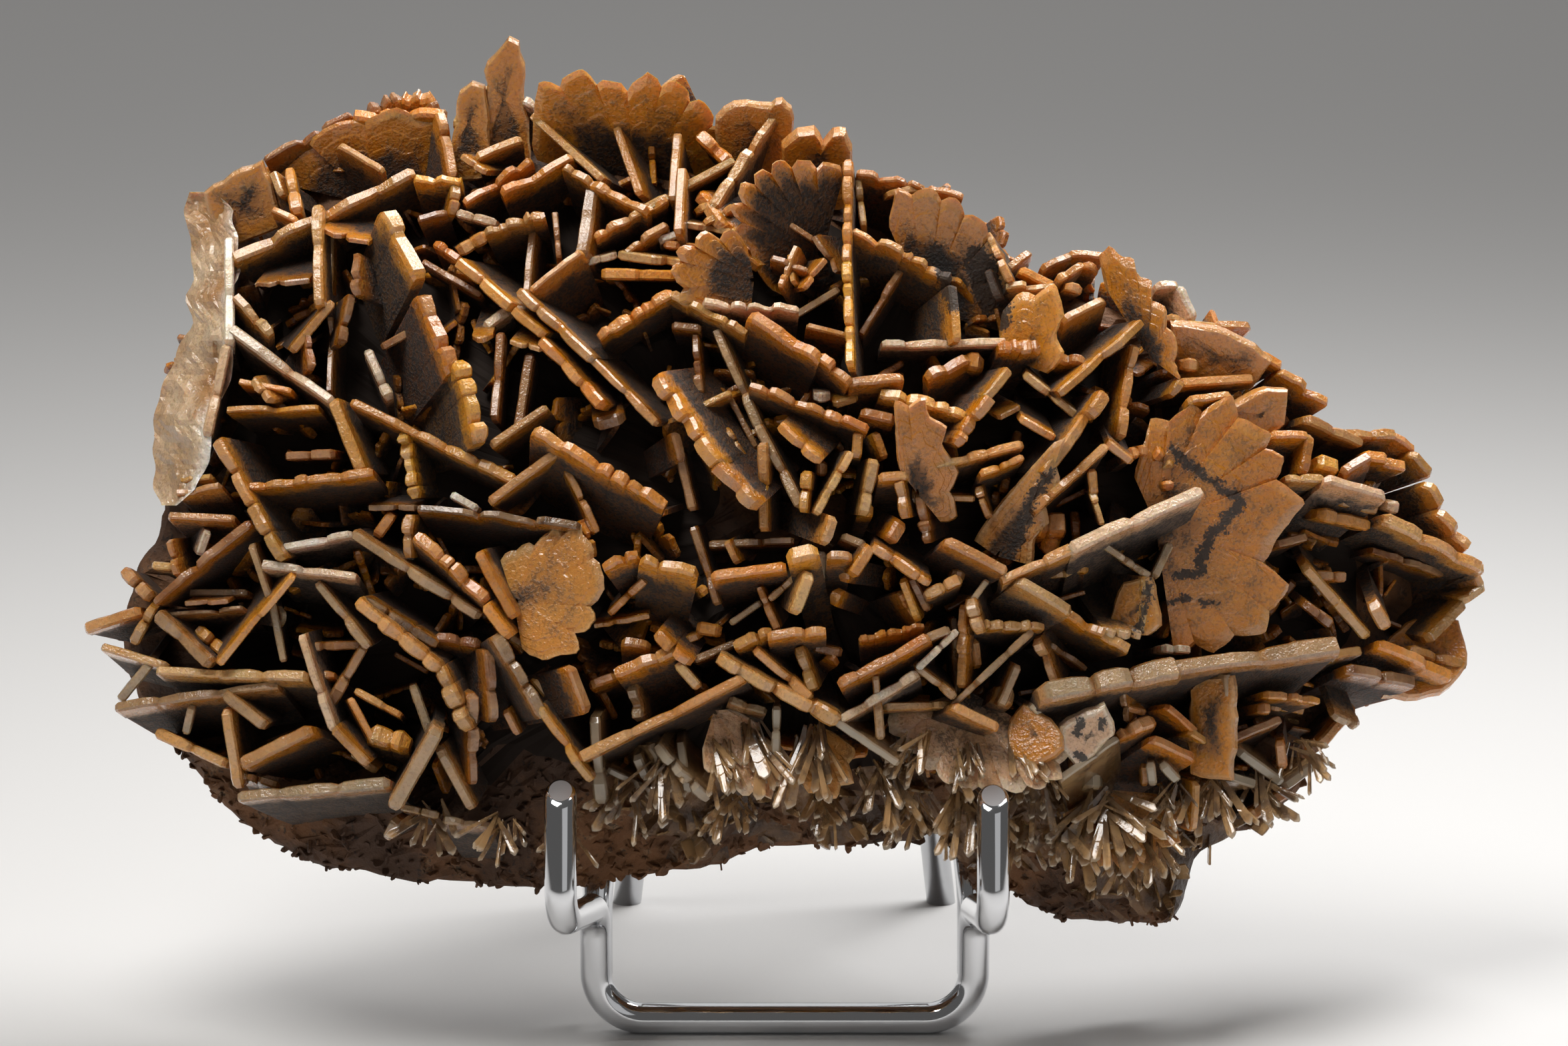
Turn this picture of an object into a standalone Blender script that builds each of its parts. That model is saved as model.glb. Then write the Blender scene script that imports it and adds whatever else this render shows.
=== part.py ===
"""A bladed barite specimen that rests on a small easel of bent chrome wire.

Run with blender --background --python part.py. The solids are one specimen, whose crystals grew
into each other and into their matrix, and the three bent wires of the easel.

Lengths are in millimetres in the face frame: x to the right, y into the specimen, z up its front.
The face leans back by LEAN, and world() turns it, sets it down and changes to metres.
A crystal's place is read on the face as the eye sees it, at VIEW from the face, so a point that
lies deeper is spread from the line of sight by spread().
"""
import math

import bmesh
import bpy
from mathutils import Matrix, Vector, noise

MM = 0.001
LEAN = math.radians(12.0)
VIEW = 600.0
SIGHT = (0.0, 44.5)
# Middle of the whole object's box and the floor, in the leaning frame's world millimetres.
CENTRE_X = 1.456
CENTRE_Y = 42.167
FLOOR_Z = -24.989

# The face: how far its edges fall back from the middle of the front.
FACE_MIDDLE = (0.0, 46.0)
HALF_WIDTH = 84.0
HALF_HEIGHT = 50.0
FALL_LEFT = 15.0
FALL_RIGHT = 34.0
FALL_TOP = 18.0
FALL_FOOT = 9.0

# The matrix that carries the crystals.
MATRIX_MIDDLE = (0.0, 45.0)
TIP_TO_MATRIX = 9.0
TIP_TO_RIM = 15.0
BACK_AT_FOOT = 28.5
BACK_SLOPE = 0.22
LUMP_SIZE = 11.0
LUMP_HEIGHT = 1.8
# Without a seed, the noise takes the clock's, and each run gives another lump.
NOISE_SEED = 1795859397
FRONT_RINGS = (0.95, 0.8, 0.58, 0.32)
BACK_RINGS = (0.95, 0.82, 0.6, 0.32)
MATRIX_OUTLINE = (
    (-69.0, 82.0), (-62.0, 83.0), (-50.0, 88.0), (-38.0, 89.0), (-28.0, 90.0), (-14.0, 89.0),
    (0.0, 86.0), (12.0, 83.0), (22.0, 78.0), (34.0, 72.0), (46.0, 67.0), (57.0, 60.0),
    (68.0, 51.0), (75.0, 44.0), (78.0, 36.0), (76.0, 27.0), (69.5, 24.0), (65.0, 17.0),
    (58.0, 9.0), (50.0, 4.5), (46.5, -2.0), (40.0, -3.4), (33.0, -2.0), (27.0, 0.7),
    (22.0, 1.6), (18.5, 7.0), (8.0, 5.8), (-2.0, 5.4), (-12.0, 3.0), (-25.0, 0.9),
    (-35.0, 0.5), (-48.0, 2.2), (-60.0, 5.4), (-66.0, 9.0), (-72.0, 16.0), (-77.0, 23.0),
    (-79.0, 31.0), (-78.0, 38.0), (-74.5, 45.0), (-74.8, 54.0), (-72.0, 62.0), (-70.0, 70.0),
)

# A crystal's rim runs from one read point to the next. Columns: x and z of both ends, thickness,
# lean in degrees (positive shows the face on the left of the run), and depth past the face.
CRYSTALS = (
    (-62.5, 88.3, -52.0, 93.8, 1.2, -38, 3),
    (-52.0, 93.4, -41.0, 94.4, 2.2, -40, 3),
    (-41.2, 94.0, -39.5, 86.5, 1.6, -22, 3),
    (-53.5, 90.0, -48.0, 87.0, 1.3, -30, 4),
    (-66.5, 76.4, -44.5, 87.0, 1.9, -26, 0),
    (-44.5, 86.0, -38.8, 86.2, 1.3, -42, 0),
    (-56.2, 83.0, -56.0, 71.0, 1.9, 10, -1),
    (-47.6, 82.6, -43.3, 74.6, 2.8, -34, -3),
    (-38.5, 83.2, -30.3, 88.3, 1.4, -26, 1),
    (-66.6, 79.0, -66.5, 66.0, 1.6, -30, 0),
    (-66.8, 66.0, -69.2, 55.0, 1.6, -30, 0),
    (-66.5, 68.0, -54.2, 59.3, 1.5, -14, 0),
    (-64.5, 49.0, -49.5, 50.8, 1.4, -16, -1),
    (-74.0, 45.5, -66.0, 45.2, 1.2, -20, 1),
    (-64.3, 44.6, -75.8, 35.0, 1.4, 16, -1),
    (-84.2, 31.8, -77.5, 34.0, 1.9, -12, 2),
    (-82.0, 29.8, -74.0, 27.4, 1.3, -20, 1),
    (-75.5, 27.0, -57.2, 26.2, 1.6, -16, -1),
    (-80.5, 22.6, -61.0, 25.3, 1.6, -22, 0),
    (-79.8, 23.0, -76.0, 27.6, 1.4, 12, 1),
    (-75.5, 33.6, -69.0, 27.4, 1.9, 12, -2),
    (-67.8, 27.3, -58.8, 38.0, 1.3, 18, -2),
    (-58.0, 31.0, -54.2, 19.5, 1.5, 12, -2),
    (-67.0, 22.0, -65.5, 12.5, 1.7, 8, -1),
    (-65.5, 15.5, -57.0, 19.8, 2.0, -16, -2),
    (-75.5, 19.5, -67.0, 15.6, 1.6, -24, 1),
    (-65.8, 11.8, -47.5, 13.4, 1.8, -18, -2),
    (-39.6, 92.4, -35.6, 97.2, 1.3, -20, 3),
    (-37.0, 88.5, -31.5, 90.8, 1.5, -20, 2),
    (-30.5, 93.6, -22.0, 85.8, 1.3, 8, 1),
    (-34.0, 84.3, -25.5, 88.8, 1.6, -26, 0),
    (-26.5, 87.5, -16.3, 82.0, 1.5, -20, -1),
    (-20.3, 92.3, -17.5, 84.0, 1.3, 14, 3),
    (-23.0, 85.4, -24.5, 76.4, 2.2, 18, 1),
    (-12.8, 91.5, -13.5, 83.5, 1.3, 10, 1),
    (-12.3, 87.4, -12.8, 79.5, 1.5, 10, -1),
    (-17.0, 82.0, -5.9, 88.2, 1.3, -12, 1),
    (-0.2, 95.0, -8.6, 82.8, 1.7, 12, 1),
    (-43.2, 72.4, -39.2, 63.2, 2.7, -30, -3),
    (-38.6, 64.4, -36.0, 54.5, 2.6, -26, -3),
    (-39.5, 76.0, -29.0, 67.0, 1.7, 14, -1),
    (-32.2, 72.4, -23.2, 64.0, 1.6, 12, -2),
    (-52.0, 59.3, -32.3, 49.8, 1.5, -14, 0),
    (-30.0, 56.0, -14.0, 47.2, 2.0, -26, -3),
    (-44.0, 46.6, -24.5, 44.3, 1.3, -22, 0),
    (-52.0, 43.2, -36.6, 33.2, 1.6, 12, 0),
    (-44.0, 43.4, -35.4, 35.4, 1.9, -20, -2),
    (-34.5, 31.2, -28.5, 21.4, 1.9, -20, -3),
    (-51.5, 35.0, -41.5, 26.8, 2.0, 12, -2),
    (-41.5, 19.6, -47.0, 9.8, 2.4, -10, -3),
    (-22.8, 21.0, -22.0, 10.6, 2.0, 8, -1),
    (-24.7, 16.3, -5.0, 26.0, 1.6, -14, -3),
    (7.6, 88.4, 7.4, 76.0, 1.4, 8, -3),
    (7.4, 76.2, 7.9, 63.4, 1.4, 8, -3),
    (8.8, 86.9, 21.6, 84.0, 1.2, -34, 0),
    (-9.8, 71.0, 1.8, 70.3, 1.1, -26, -1),
    (-4.0, 69.9, 4.6, 64.6, 2.4, -24, -3),
    (11.9, 66.1, 26.8, 66.2, 1.2, -14, 1),
    (11.8, 60.6, 22.0, 57.8, 2.0, -26, -1),
    (-4.0, 61.3, 10.2, 55.9, 1.3, -18, -2),
    (-15.9, 62.0, -8.0, 51.0, 2.6, 26, -4),
    (17.2, 51.2, 28.8, 54.2, 1.5, -14, -1),
    (-8.0, 28.0, 6.6, 20.4, 2.3, 14, -3),
    (6.4, 25.3, 17.4, 31.0, 1.6, -20, -3),
    (38.9, 60.2, 31.6, 50.4, 1.9, -14, -3),
    (43.4, 68.6, 33.4, 60.0, 1.6, -16, -1),
    (42.3, 66.0, 40.4, 54.6, 1.6, -22, 1),
    (38.8, 54.0, 30.0, 46.2, 1.6, 10, -2),
    (34.4, 41.6, 50.3, 48.8, 1.9, -18, -4),
    (29.8, 31.6, 20.2, 22.6, 1.2, 0, -1),
    (31.0, 24.4, 48.0, 27.6, 3.6, -22, -3),
    (47.0, 27.6, 67.0, 30.0, 3.0, -22, -3),
    (24.3, 79.4, 27.0, 73.6, 1.2, 20, 1),
    (26.8, 73.2, 32.6, 72.8, 1.3, -26, 2),
    (28.4, 75.0, 32.7, 72.9, 1.4, -20, 3),
    (34.2, 76.9, 38.6, 76.8, 1.3, -20, 6),
    (33.4, 69.0, 38.5, 71.6, 1.4, -26, 2),
    (47.4, 73.2, 49.6, 69.0, 1.6, 16, 5),
    (46.0, 69.2, 52.0, 68.0, 1.3, -20, 4),
    (52.0, 68.4, 56.2, 68.3, 1.5, -20, 4),
    (52.4, 67.6, 60.0, 63.4, 1.6, -30, 3),
    (59.6, 62.9, 65.6, 59.1, 1.6, -34, 3),
    (47.6, 61.4, 56.6, 62.0, 1.5, -16, 1),
    (48.6, 59.4, 53.8, 60.1, 1.3, -24, 0),
    (58.6, 55.3, 63.2, 55.2, 1.4, -30, 0),
    (63.2, 55.2, 62.6, 50.4, 1.7, -26, 0),
    (62.6, 57.0, 69.8, 54.2, 1.6, -16, 3),
    (66.4, 55.6, 73.6, 55.2, 1.6, -24, 4),
    (60.4, 50.0, 65.0, 50.1, 1.3, -20, -1),
    (65.2, 50.0, 72.5, 47.9, 1.6, -34, -2),
    (67.0, 50.8, 70.4, 53.0, 1.6, -24, 1),
    (70.2, 52.9, 75.0, 51.4, 1.8, -24, 2),
    (72.6, 45.2, 84.4, 39.2, 2.3, -22, -1),
    (79.0, 46.0, 82.4, 41.4, 1.8, 14, 2),
    (82.4, 40.2, 84.2, 36.4, 1.8, -12, 3),
    (72.0, 30.2, 80.6, 26.2, 2.0, -24, 0),
    (75.6, 29.4, 82.2, 27.4, 1.7, -20, 3),
    (77.4, 30.4, 82.0, 35.0, 1.9, -14, 3),
    (71.0, 41.3, 79.4, 38.4, 1.3, -16, 5),
    (53.6, 26.2, 53.4, 13.6, 1.3, -30, -2),
    (57.8, 24.0, 64.6, 23.3, 1.4, -16, 1),
    (54.6, 17.0, 60.0, 13.0, 1.5, 12, 1),
    (60.0, 12.8, 64.2, 15.8, 1.6, -12, 2),
    (49.6, 13.4, 49.3, 7.4, 1.4, -34, 0),
    (64.6, 18.0, 68.6, 22.6, 1.8, -14, 6),
)

# Crystals seen on their face. Columns: thickness, depth past the face, how much deeper the face
# gets per millimetre to the right and up, and its outline on the face.
PLATES = (
    (3.0, 3.0, -0.75, 0.0, (
        (-71.6, 83.6), (-66.4, 81.6), (-66.0, 66.0), (-68.4, 56.0), (-69.0, 52.0), (-75.2, 47.0),
        (-75.6, 57.0), (-72.0, 66.0), (-70.6, 73.0), (-71.2, 79.0))),
    (2.0, 4.0, 0.0, -0.3, (
        (-69.6, 84.0), (-62.6, 87.8), (-60.0, 80.0), (-67.0, 77.6))),
    (2.0, 2.0, 0.0, -0.35, (
        (-36.0, 82.0), (-35.6, 97.0), (-36.0, 98.6), (-34.8, 100.4), (-33.0, 102.6), (-31.8, 102.0),
        (-31.2, 96.5), (-30.4, 82.0))),
    (2.2, -1.0, 0.0, -0.8, (
        (-30.0, 97.4), (-28.0, 96.8), (-25.4, 99.3), (-21.5, 97.0), (-18.2, 95.6), (-16.4, 98.2),
        (-13.8, 96.6), (-12.0, 96.0), (-10.6, 94.6), (-9.4, 95.0), (-7.6, 92.4), (-7.0, 86.0),
        (-15.0, 84.0), (-28.0, 86.0))),
    (1.8, 4.0, 0.0, -0.6, (
        (-8.2, 92.8), (-6.0, 94.6), (-1.5, 94.4), (-0.2, 95.0), (0.9, 94.0), (1.2, 88.0),
        (-3.0, 84.0), (-7.4, 86.0))),
    (2.4, 2.0, 0.0, -0.7, (
        (-0.3, 89.4), (1.6, 91.0), (3.6, 91.3), (4.7, 89.5), (6.0, 91.0), (7.4, 91.0),
        (8.2, 89.0), (7.8, 82.0), (0.0, 82.0))),
    (1.9, -1.0, 0.5, -0.4, (
        (-5.8, 82.2), (-4.4, 84.6), (-2.4, 86.2), (0.6, 88.0), (3.0, 87.0), (7.0, 86.6),
        (7.4, 76.0), (4.0, 71.6), (-1.0, 73.0), (-3.4, 79.0))),
    (1.9, -2.0, 0.5, -0.2, (
        (-13.0, 75.0), (-12.6, 77.0), (-9.4, 79.1), (-5.6, 78.8), (-3.0, 79.4), (-2.6, 73.0),
        (-6.0, 70.2), (-12.0, 71.0))),
    (2.0, 1.0, 0.0, -0.4, (
        (14.6, 84.0), (18.0, 81.6), (20.0, 81.4), (22.0, 80.2), (24.2, 80.0), (25.0, 77.6),
        (26.0, 74.0), (27.2, 70.0), (27.0, 66.0), (19.6, 66.0), (15.6, 76.0))),
    (2.2, 0.0, -0.4, -0.2, (
        (26.0, 69.6), (28.0, 71.6), (30.0, 72.6), (32.4, 72.8), (33.4, 70.4), (33.0, 66.5),
        (32.2, 62.5), (29.0, 62.6), (26.4, 66.0))),
    (2.4, 0.0, -0.55, -0.25, (
        (38.0, 76.5), (39.3, 77.6), (40.6, 77.0), (42.2, 76.0), (44.2, 72.4), (45.8, 69.0),
        (46.9, 65.0), (46.6, 62.0), (44.8, 62.6), (42.4, 66.5), (40.2, 69.6), (38.4, 72.6))),
    (2.0, 0.0, -0.35, 0.1, (
        (-32.0, 40.0), (-30.0, 41.5), (-27.5, 43.5), (-25.0, 44.0), (-22.5, 39.5), (-21.4, 37.0),
        (-23.0, 34.3), (-25.0, 34.5), (-24.4, 32.2), (-25.2, 29.3), (-28.5, 28.3), (-31.0, 29.6),
        (-33.6, 34.0))),
    (2.0, -2.0, 0.35, -0.3, (
        (13.4, 58.8), (16.0, 58.9), (18.4, 56.0), (19.8, 52.5), (20.0, 46.0), (17.6, 45.0),
        (15.4, 51.0), (13.7, 55.0))),
    (1.8, 0.0, -0.3, -0.2, (
        (22.6, 42.0), (26.0, 46.4), (29.0, 50.4), (32.4, 53.8), (34.0, 54.6), (33.0, 50.5),
        (30.6, 46.2), (30.2, 43.0), (28.0, 39.6), (23.6, 39.0))),
    (2.0, 1.5, 0.3, -0.1, (
        (42.0, 51.0), (44.0, 56.4), (46.5, 57.2), (50.0, 58.1), (53.0, 58.4), (56.0, 56.1),
        (57.4, 54.8), (54.0, 50.0))),
    (2.0, 0.5, 0.25, -0.05, (
        (43.0, 49.0), (45.0, 54.0), (52.0, 54.8), (56.0, 55.1), (58.4, 54.0), (58.0, 53.4),
        (60.0, 52.3), (58.0, 50.6), (54.0, 46.0))),
    (2.2, -0.6, 0.2, 0.0, (
        (44.0, 44.0), (48.0, 50.0), (57.0, 50.2), (60.0, 49.2), (62.6, 47.0), (62.2, 46.2),
        (60.0, 43.8), (58.0, 41.6), (54.4, 40.0), (50.0, 39.2), (45.0, 40.0))),
    (2.0, 0.6, 0.2, 0.1, (
        (44.0, 36.0), (50.0, 39.6), (58.0, 39.1), (61.0, 37.4), (60.4, 36.2), (58.0, 34.6),
        (55.0, 33.4), (52.0, 32.8), (45.0, 32.4))),
    (2.0, 2.0, 0.2, 0.2, (
        (44.6, 35.0), (50.0, 33.2), (57.2, 32.2), (57.0, 30.4), (50.0, 29.6), (45.2, 29.4))),
    (1.8, -1.0, -0.4, 0.0, (
        (38.6, 31.4), (43.4, 31.0), (44.9, 32.2), (44.3, 36.0), (43.8, 38.0), (40.6, 37.4))),
    (2.2, -2.5, 0.1, -0.3, (
        (33.2, 19.9), (38.6, 22.6), (39.8, 19.4), (39.2, 18.6), (35.0, 15.2), (33.0, 17.6))),
    (1.8, -1.0, -0.3, 0.3, (
        (27.0, 21.0), (28.6, 23.0), (30.0, 22.6), (33.3, 19.2), (33.3, 17.6), (30.0, 15.6),
        (27.0, 16.6))),
    (1.9, 0.0, 0.1, 0.4, (
        (-9.3, 21.2), (-8.9, 15.6), (-8.0, 14.2), (-5.0, 12.6), (-1.0, 11.1), (-0.3, 12.4),
        (-2.0, 15.2), (-4.5, 19.4), (-7.0, 22.4))),
    (1.9, 0.2, 0.1, 0.4, (
        (12.4, 21.6), (14.0, 18.4), (18.2, 13.2), (22.4, 12.0), (27.0, 12.2), (33.0, 13.4),
        (33.6, 16.0), (28.0, 18.4), (26.0, 20.2), (20.6, 22.6))),
    (2.0, 1.0, 0.3, 0.3, (
        (0.6, 20.0), (4.6, 12.8), (7.9, 10.8), (6.8, 15.5), (5.2, 18.0), (3.0, 20.4))),
    (1.8, 0.0, -0.5, 0.0, (
        (48.6, 14.4), (48.6, 24.6), (50.6, 26.0), (53.6, 26.2), (53.5, 13.6))),
    (2.0, 1.0, 0.4, -0.3, (
        (53.0, 58.0), (57.0, 60.2), (60.6, 60.4), (60.2, 56.2), (58.0, 54.4), (54.0, 55.0))),
    (2.0, 1.0, 0.3, 0.3, (
        (49.0, 5.2), (51.0, 11.0), (57.0, 11.8), (60.2, 9.6), (57.2, 7.3), (52.0, 5.5))),
    (2.0, 3.0, 0.0, -0.5, (
        (46.4, 68.2), (52.0, 67.6), (58.6, 63.8), (56.0, 60.4), (47.6, 61.0))),
    (2.0, 6.0, 0.2, 0.5, (
        (79.0, 24.4), (82.0, 27.6), (81.0, 33.0), (77.0, 34.0), (72.0, 30.0), (72.0, 24.0))),
)

# Crystal shape. A crystal further out than EDGE_ZONE, which shows in the outline, has cut corners.
RIM_CUT = 0.3
MOST_CUT = 2.0
ROOT_DEPTH = 2.7
ROOT_WIDTH = 0.8
EDGE_ZONE = 0.8
STEM_HALF_WIDTH = 2.2
BURIED_REACH = 0.96
BURIED_BY = 1.0
# The search for the matrix behind a rim: how strongly the crystal turns to the matrix's heart.
HEART = (0.0, 24.0, 45.0)
PULLS = (0.0, 0.25, 0.5, 0.9, 1.5)
NEAREST_ROOT = 3
DEEPEST_ROOT = 34
FALLBACK_ROOT = 20.0
FLAT = math.radians(0.2)

# The easel. Prongs, arms and legs are read on the face like the crystals.
WIRE = 3.9
WIRE_SIDES = 12
BEND_STEPS = 4
WELD_GAP = 0.3
PRONG_DEPTH = 2.2
PRONG_X = (-26.8, 25.1)
PRONG_TOP = (12.4, 11.8)
ARM_Z = -3.25
ELBOW_X = (-22.6, 22.8)
ELBOW_DEPTH = 25.0
BAR_Z = -15.0
HOOK_BEND = 4.0
ELBOW_BEND = 4.5
BAR_BEND = 6.0
BACKREST_RISE = 62.0
BACKREST_TOP_DEPTH = 50.6
BACKREST_TOP_X = 17.0
BACKREST_FOOT_Z = -19.0
KNEE_RISE = 0.0
KNEE_BEND = 12.0
TOP_BEND = 7.0
STRUT_TOP_X = 13.0
STRUT_FOOT_X = 21.5
STRUT_FOOT_Y = 82.0
STRUT_BEND = 6.0

ORANGE = (0.46, 0.19, 0.06, 1.0)
CHROME = (0.72, 0.73, 0.75, 1.0)


def spread(x, z, y):
    """A read point's true place at depth y, in the face frame."""
    grow = (VIEW + y) / VIEW
    return Vector((SIGHT[0] + (x - SIGHT[0]) * grow, y, SIGHT[1] + (z - SIGHT[1]) * grow))


def read(point):
    """The reading (x, z) at which the eye sees a point of the face frame."""
    shrink = VIEW / (VIEW + point.y)
    return SIGHT[0] + (point.x - SIGHT[0]) * shrink, SIGHT[1] + (point.z - SIGHT[1]) * shrink


def lean(point):
    """Face frame to upright millimetres, before the object is centred on its floor."""
    c, s = math.cos(LEAN), math.sin(LEAN)
    return Vector((point.x, point.y * c + point.z * s, point.z * c - point.y * s))


def world(point):
    """Upright millimetres to the object's own metres."""
    return (point - Vector((CENTRE_X, CENTRE_Y, FLOOR_Z))) * MM


def face_depth(x, z):
    """Depth of the crystal tips at a reading."""
    u = (x - FACE_MIDDLE[0]) / HALF_WIDTH
    v = (z - FACE_MIDDLE[1]) / HALF_HEIGHT
    side = FALL_RIGHT if u > 0 else FALL_LEFT
    rise = FALL_TOP if v > 0 else FALL_FOOT
    return side * u * u + rise * v * v


def outline_reach(x, z):
    """How far out a reading lies in the matrix outline: 0 in its middle, 1 on it."""
    dx, dz = x - MATRIX_MIDDLE[0], z - MATRIX_MIDDLE[1]
    best = 10.0
    for a, b in zip(MATRIX_OUTLINE, MATRIX_OUTLINE[1:] + MATRIX_OUTLINE[:1]):
        ax, az = a[0] - MATRIX_MIDDLE[0], a[1] - MATRIX_MIDDLE[1]
        ex, ez = b[0] - a[0], b[1] - a[1]
        cross = dx * ez - dz * ex
        if abs(cross) < 1e-9:
            continue
        along = (ax * ez - az * ex) / cross
        across = (ax * dz - az * dx) / cross
        if along > 0 and -1e-6 <= across <= 1 + 1e-6:
            best = min(best, along)
    return 1.0 / best


def matrix_depths(x, z, reach):
    """Depth of the matrix's front and back at a reading, which is reach of the way to its rim."""
    rim = face_depth(x, z) + TIP_TO_RIM
    bulge = math.sqrt(max(0.0, 1.0 - reach * reach))
    front = rim - (TIP_TO_RIM - TIP_TO_MATRIX) * bulge
    back = rim + max(4.0, BACK_AT_FOOT + BACK_SLOPE * z - rim) * bulge
    return front, back


def lump(point, strength):
    """Moves a point of the matrix by smooth unevenness."""
    place = point / LUMP_SIZE
    return point + strength * LUMP_HEIGHT * noise.noise_vector(place)


def matrix_mesh():
    """The closed lump of matrix: rings from the rim inwards, on the front and on the back."""
    bm = bmesh.new()
    middle = Vector(MATRIX_MIDDLE)

    def ring(reach, front):
        verts = []
        for spot in MATRIX_OUTLINE:
            x, z = middle + (Vector(spot) - middle) * reach
            depth = matrix_depths(x, z, reach)[0 if front else 1]
            point = spread(x, z, depth)
            verts.append(bm.verts.new(lump(point, 1.0 if reach < 1.0 else 0.0)))
        return verts

    rings = [ring(reach, True) for reach in reversed(FRONT_RINGS)]
    rings.append(ring(1.0, True))
    rings += [ring(reach, False) for reach in BACK_RINGS]
    for inner, outer in zip(rings, rings[1:]):
        count = len(inner)
        for i in range(count):
            j = (i + 1) % count
            bm.faces.new((inner[i], inner[j], outer[j], outer[i]))
    for verts, front in ((rings[0], True), (rings[-1], False)):
        depth = matrix_depths(*MATRIX_MIDDLE, 0.0)[0 if front else 1]
        hub = bm.verts.new(spread(*MATRIX_MIDDLE, depth))
        for i in range(len(verts)):
            bm.faces.new((verts[i], verts[(i + 1) % len(verts)], hub))
    bmesh.ops.triangulate(bm, faces=[f for f in bm.faces if len(f.verts) > 3])
    return finish_mesh(bm, "matrix")


def finish_mesh(bm, name):
    """Faces outwards and the face frame's points in the world."""
    for vert in bm.verts:
        vert.co = world(lean(vert.co))
    bmesh.ops.recalc_face_normals(bm, faces=bm.faces)
    mesh = bpy.data.meshes.new(name)
    bm.to_mesh(mesh)
    bm.free()
    return mesh


def prism(outline, thickness, name):
    """A closed plate from an outline of points and the vector across its thickness."""
    bm = bmesh.new()
    near = [bm.verts.new(p - thickness * 0.5) for p in outline]
    far = [bm.verts.new(p + thickness * 0.5) for p in outline]
    bm.faces.new(near)
    bm.faces.new(reversed(far))
    for i in range(len(outline)):
        j = (i + 1) % len(outline)
        bm.faces.new((near[j], near[i], far[i], far[j]))
    return finish_mesh(bm, name)


def buried(point):
    """True where a point is inside the matrix."""
    x, z = read(point)
    reach = outline_reach(x, z)
    if reach >= BURIED_REACH:
        return False
    front, back = matrix_depths(x, z, reach)
    return front + BURIED_BY < point.y < back - BURIED_BY


def root_direction(start, run, degrees):
    """Way from a rim's middle into the matrix, and its length: steeper inwards where it would miss."""
    side = Vector((-run.z, 0.0, run.x)).normalized()
    angle = math.radians(degrees)
    base = Vector((0.0, math.cos(angle), 0.0)) + side * math.sin(angle)
    for pull in PULLS:
        way = base + (Vector(HEART) - start).normalized() * pull
        way -= run * way.dot(run)
        way.normalize()
        for step in range(NEAREST_ROOT, DEEPEST_ROOT):
            if buried(start + way * step):
                return way, step + ROOT_DEPTH
    return way, FALLBACK_ROOT


def crystal_mesh(row, name):
    """One bladed crystal: a plate with a chisel rim, which runs from its rim into the matrix."""
    x0, z0, x1, z1, thickness, degrees, deeper = row
    start = spread(x0, z0, face_depth(x0, z0) + deeper)
    end = spread(x1, z1, face_depth(x1, z1) + deeper)
    length = (end - start).length
    run = (end - start) / length
    middle = (start + end) * 0.5
    way, reach = root_direction(middle, run, degrees)
    cut = min(RIM_CUT * length, thickness, MOST_CUT)
    inset = length * (1.0 - ROOT_WIDTH) * 0.5
    root = ((length - inset, reach), (inset, reach))
    spots = ((cut, 0.0), (length - cut, 0.0), (length, cut)) + root + ((0.0, cut),)
    if outline_reach(*read(middle)) < EDGE_ZONE:
        spots = ((0.0, 0.0), (length, 0.0)) + root
    outline = [start + run * s + way * w for s, w in spots]
    return prism(outline, run.cross(way).normalized() * thickness, name)


def plate_outline(row):
    """The outline of a crystal that shows its face, on its own sloping plane, and the way across it."""
    thickness, deeper, slope_x, slope_z, spots = row
    mid_x = sum(x for x, z in spots) / len(spots)
    mid_z = sum(z for x, z in spots) / len(spots)
    depth = face_depth(mid_x, mid_z) + deeper
    outline = [spread(x, z, depth + slope_x * (x - mid_x) + slope_z * (z - mid_z)) for x, z in spots]
    return outline, Vector((-slope_x, 1.0, -slope_z)).normalized() * thickness


def plate_mesh(row, name):
    """A crystal that shows its face."""
    outline, across = plate_outline(row)
    return prism([p + across * 0.5 for p in outline], across, name)


def rooted(row):
    """True where a face-on crystal's edge already runs into the matrix."""
    outline, across = plate_outline(row)
    return sum(buried(p + across) for p in outline) > 1


def stem_mesh(row, name):
    """A short post that holds a face-on crystal to the matrix behind it."""
    outline, across = plate_outline(row)
    top = sum(outline, Vector()) / len(outline) + across * 0.5
    way, reach = root_direction(top, Vector((0.3, 0.0, 0.95)).normalized(), 0.0)
    side = way.cross(Vector((0.0, 0.0, 1.0))).normalized()
    up = side.cross(way).normalized()
    corners = ((-1, -1), (1, -1), (1, 1), (-1, 1))
    outline = [top + (side * a + up * b) * STEM_HALF_WIDTH for a, b in corners]
    lower = [p + way * reach * 0.5 for p in outline]
    return prism(lower, way * reach, name)


def material(name, colour, roughness, metallic):
    mat = bpy.data.materials.new(name)
    mat.use_nodes = True
    shader = mat.node_tree.nodes["Principled BSDF"]
    shader.inputs["Base Color"].default_value = colour
    shader.inputs["Roughness"].default_value = roughness
    shader.inputs["Metallic"].default_value = metallic
    return mat


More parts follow.
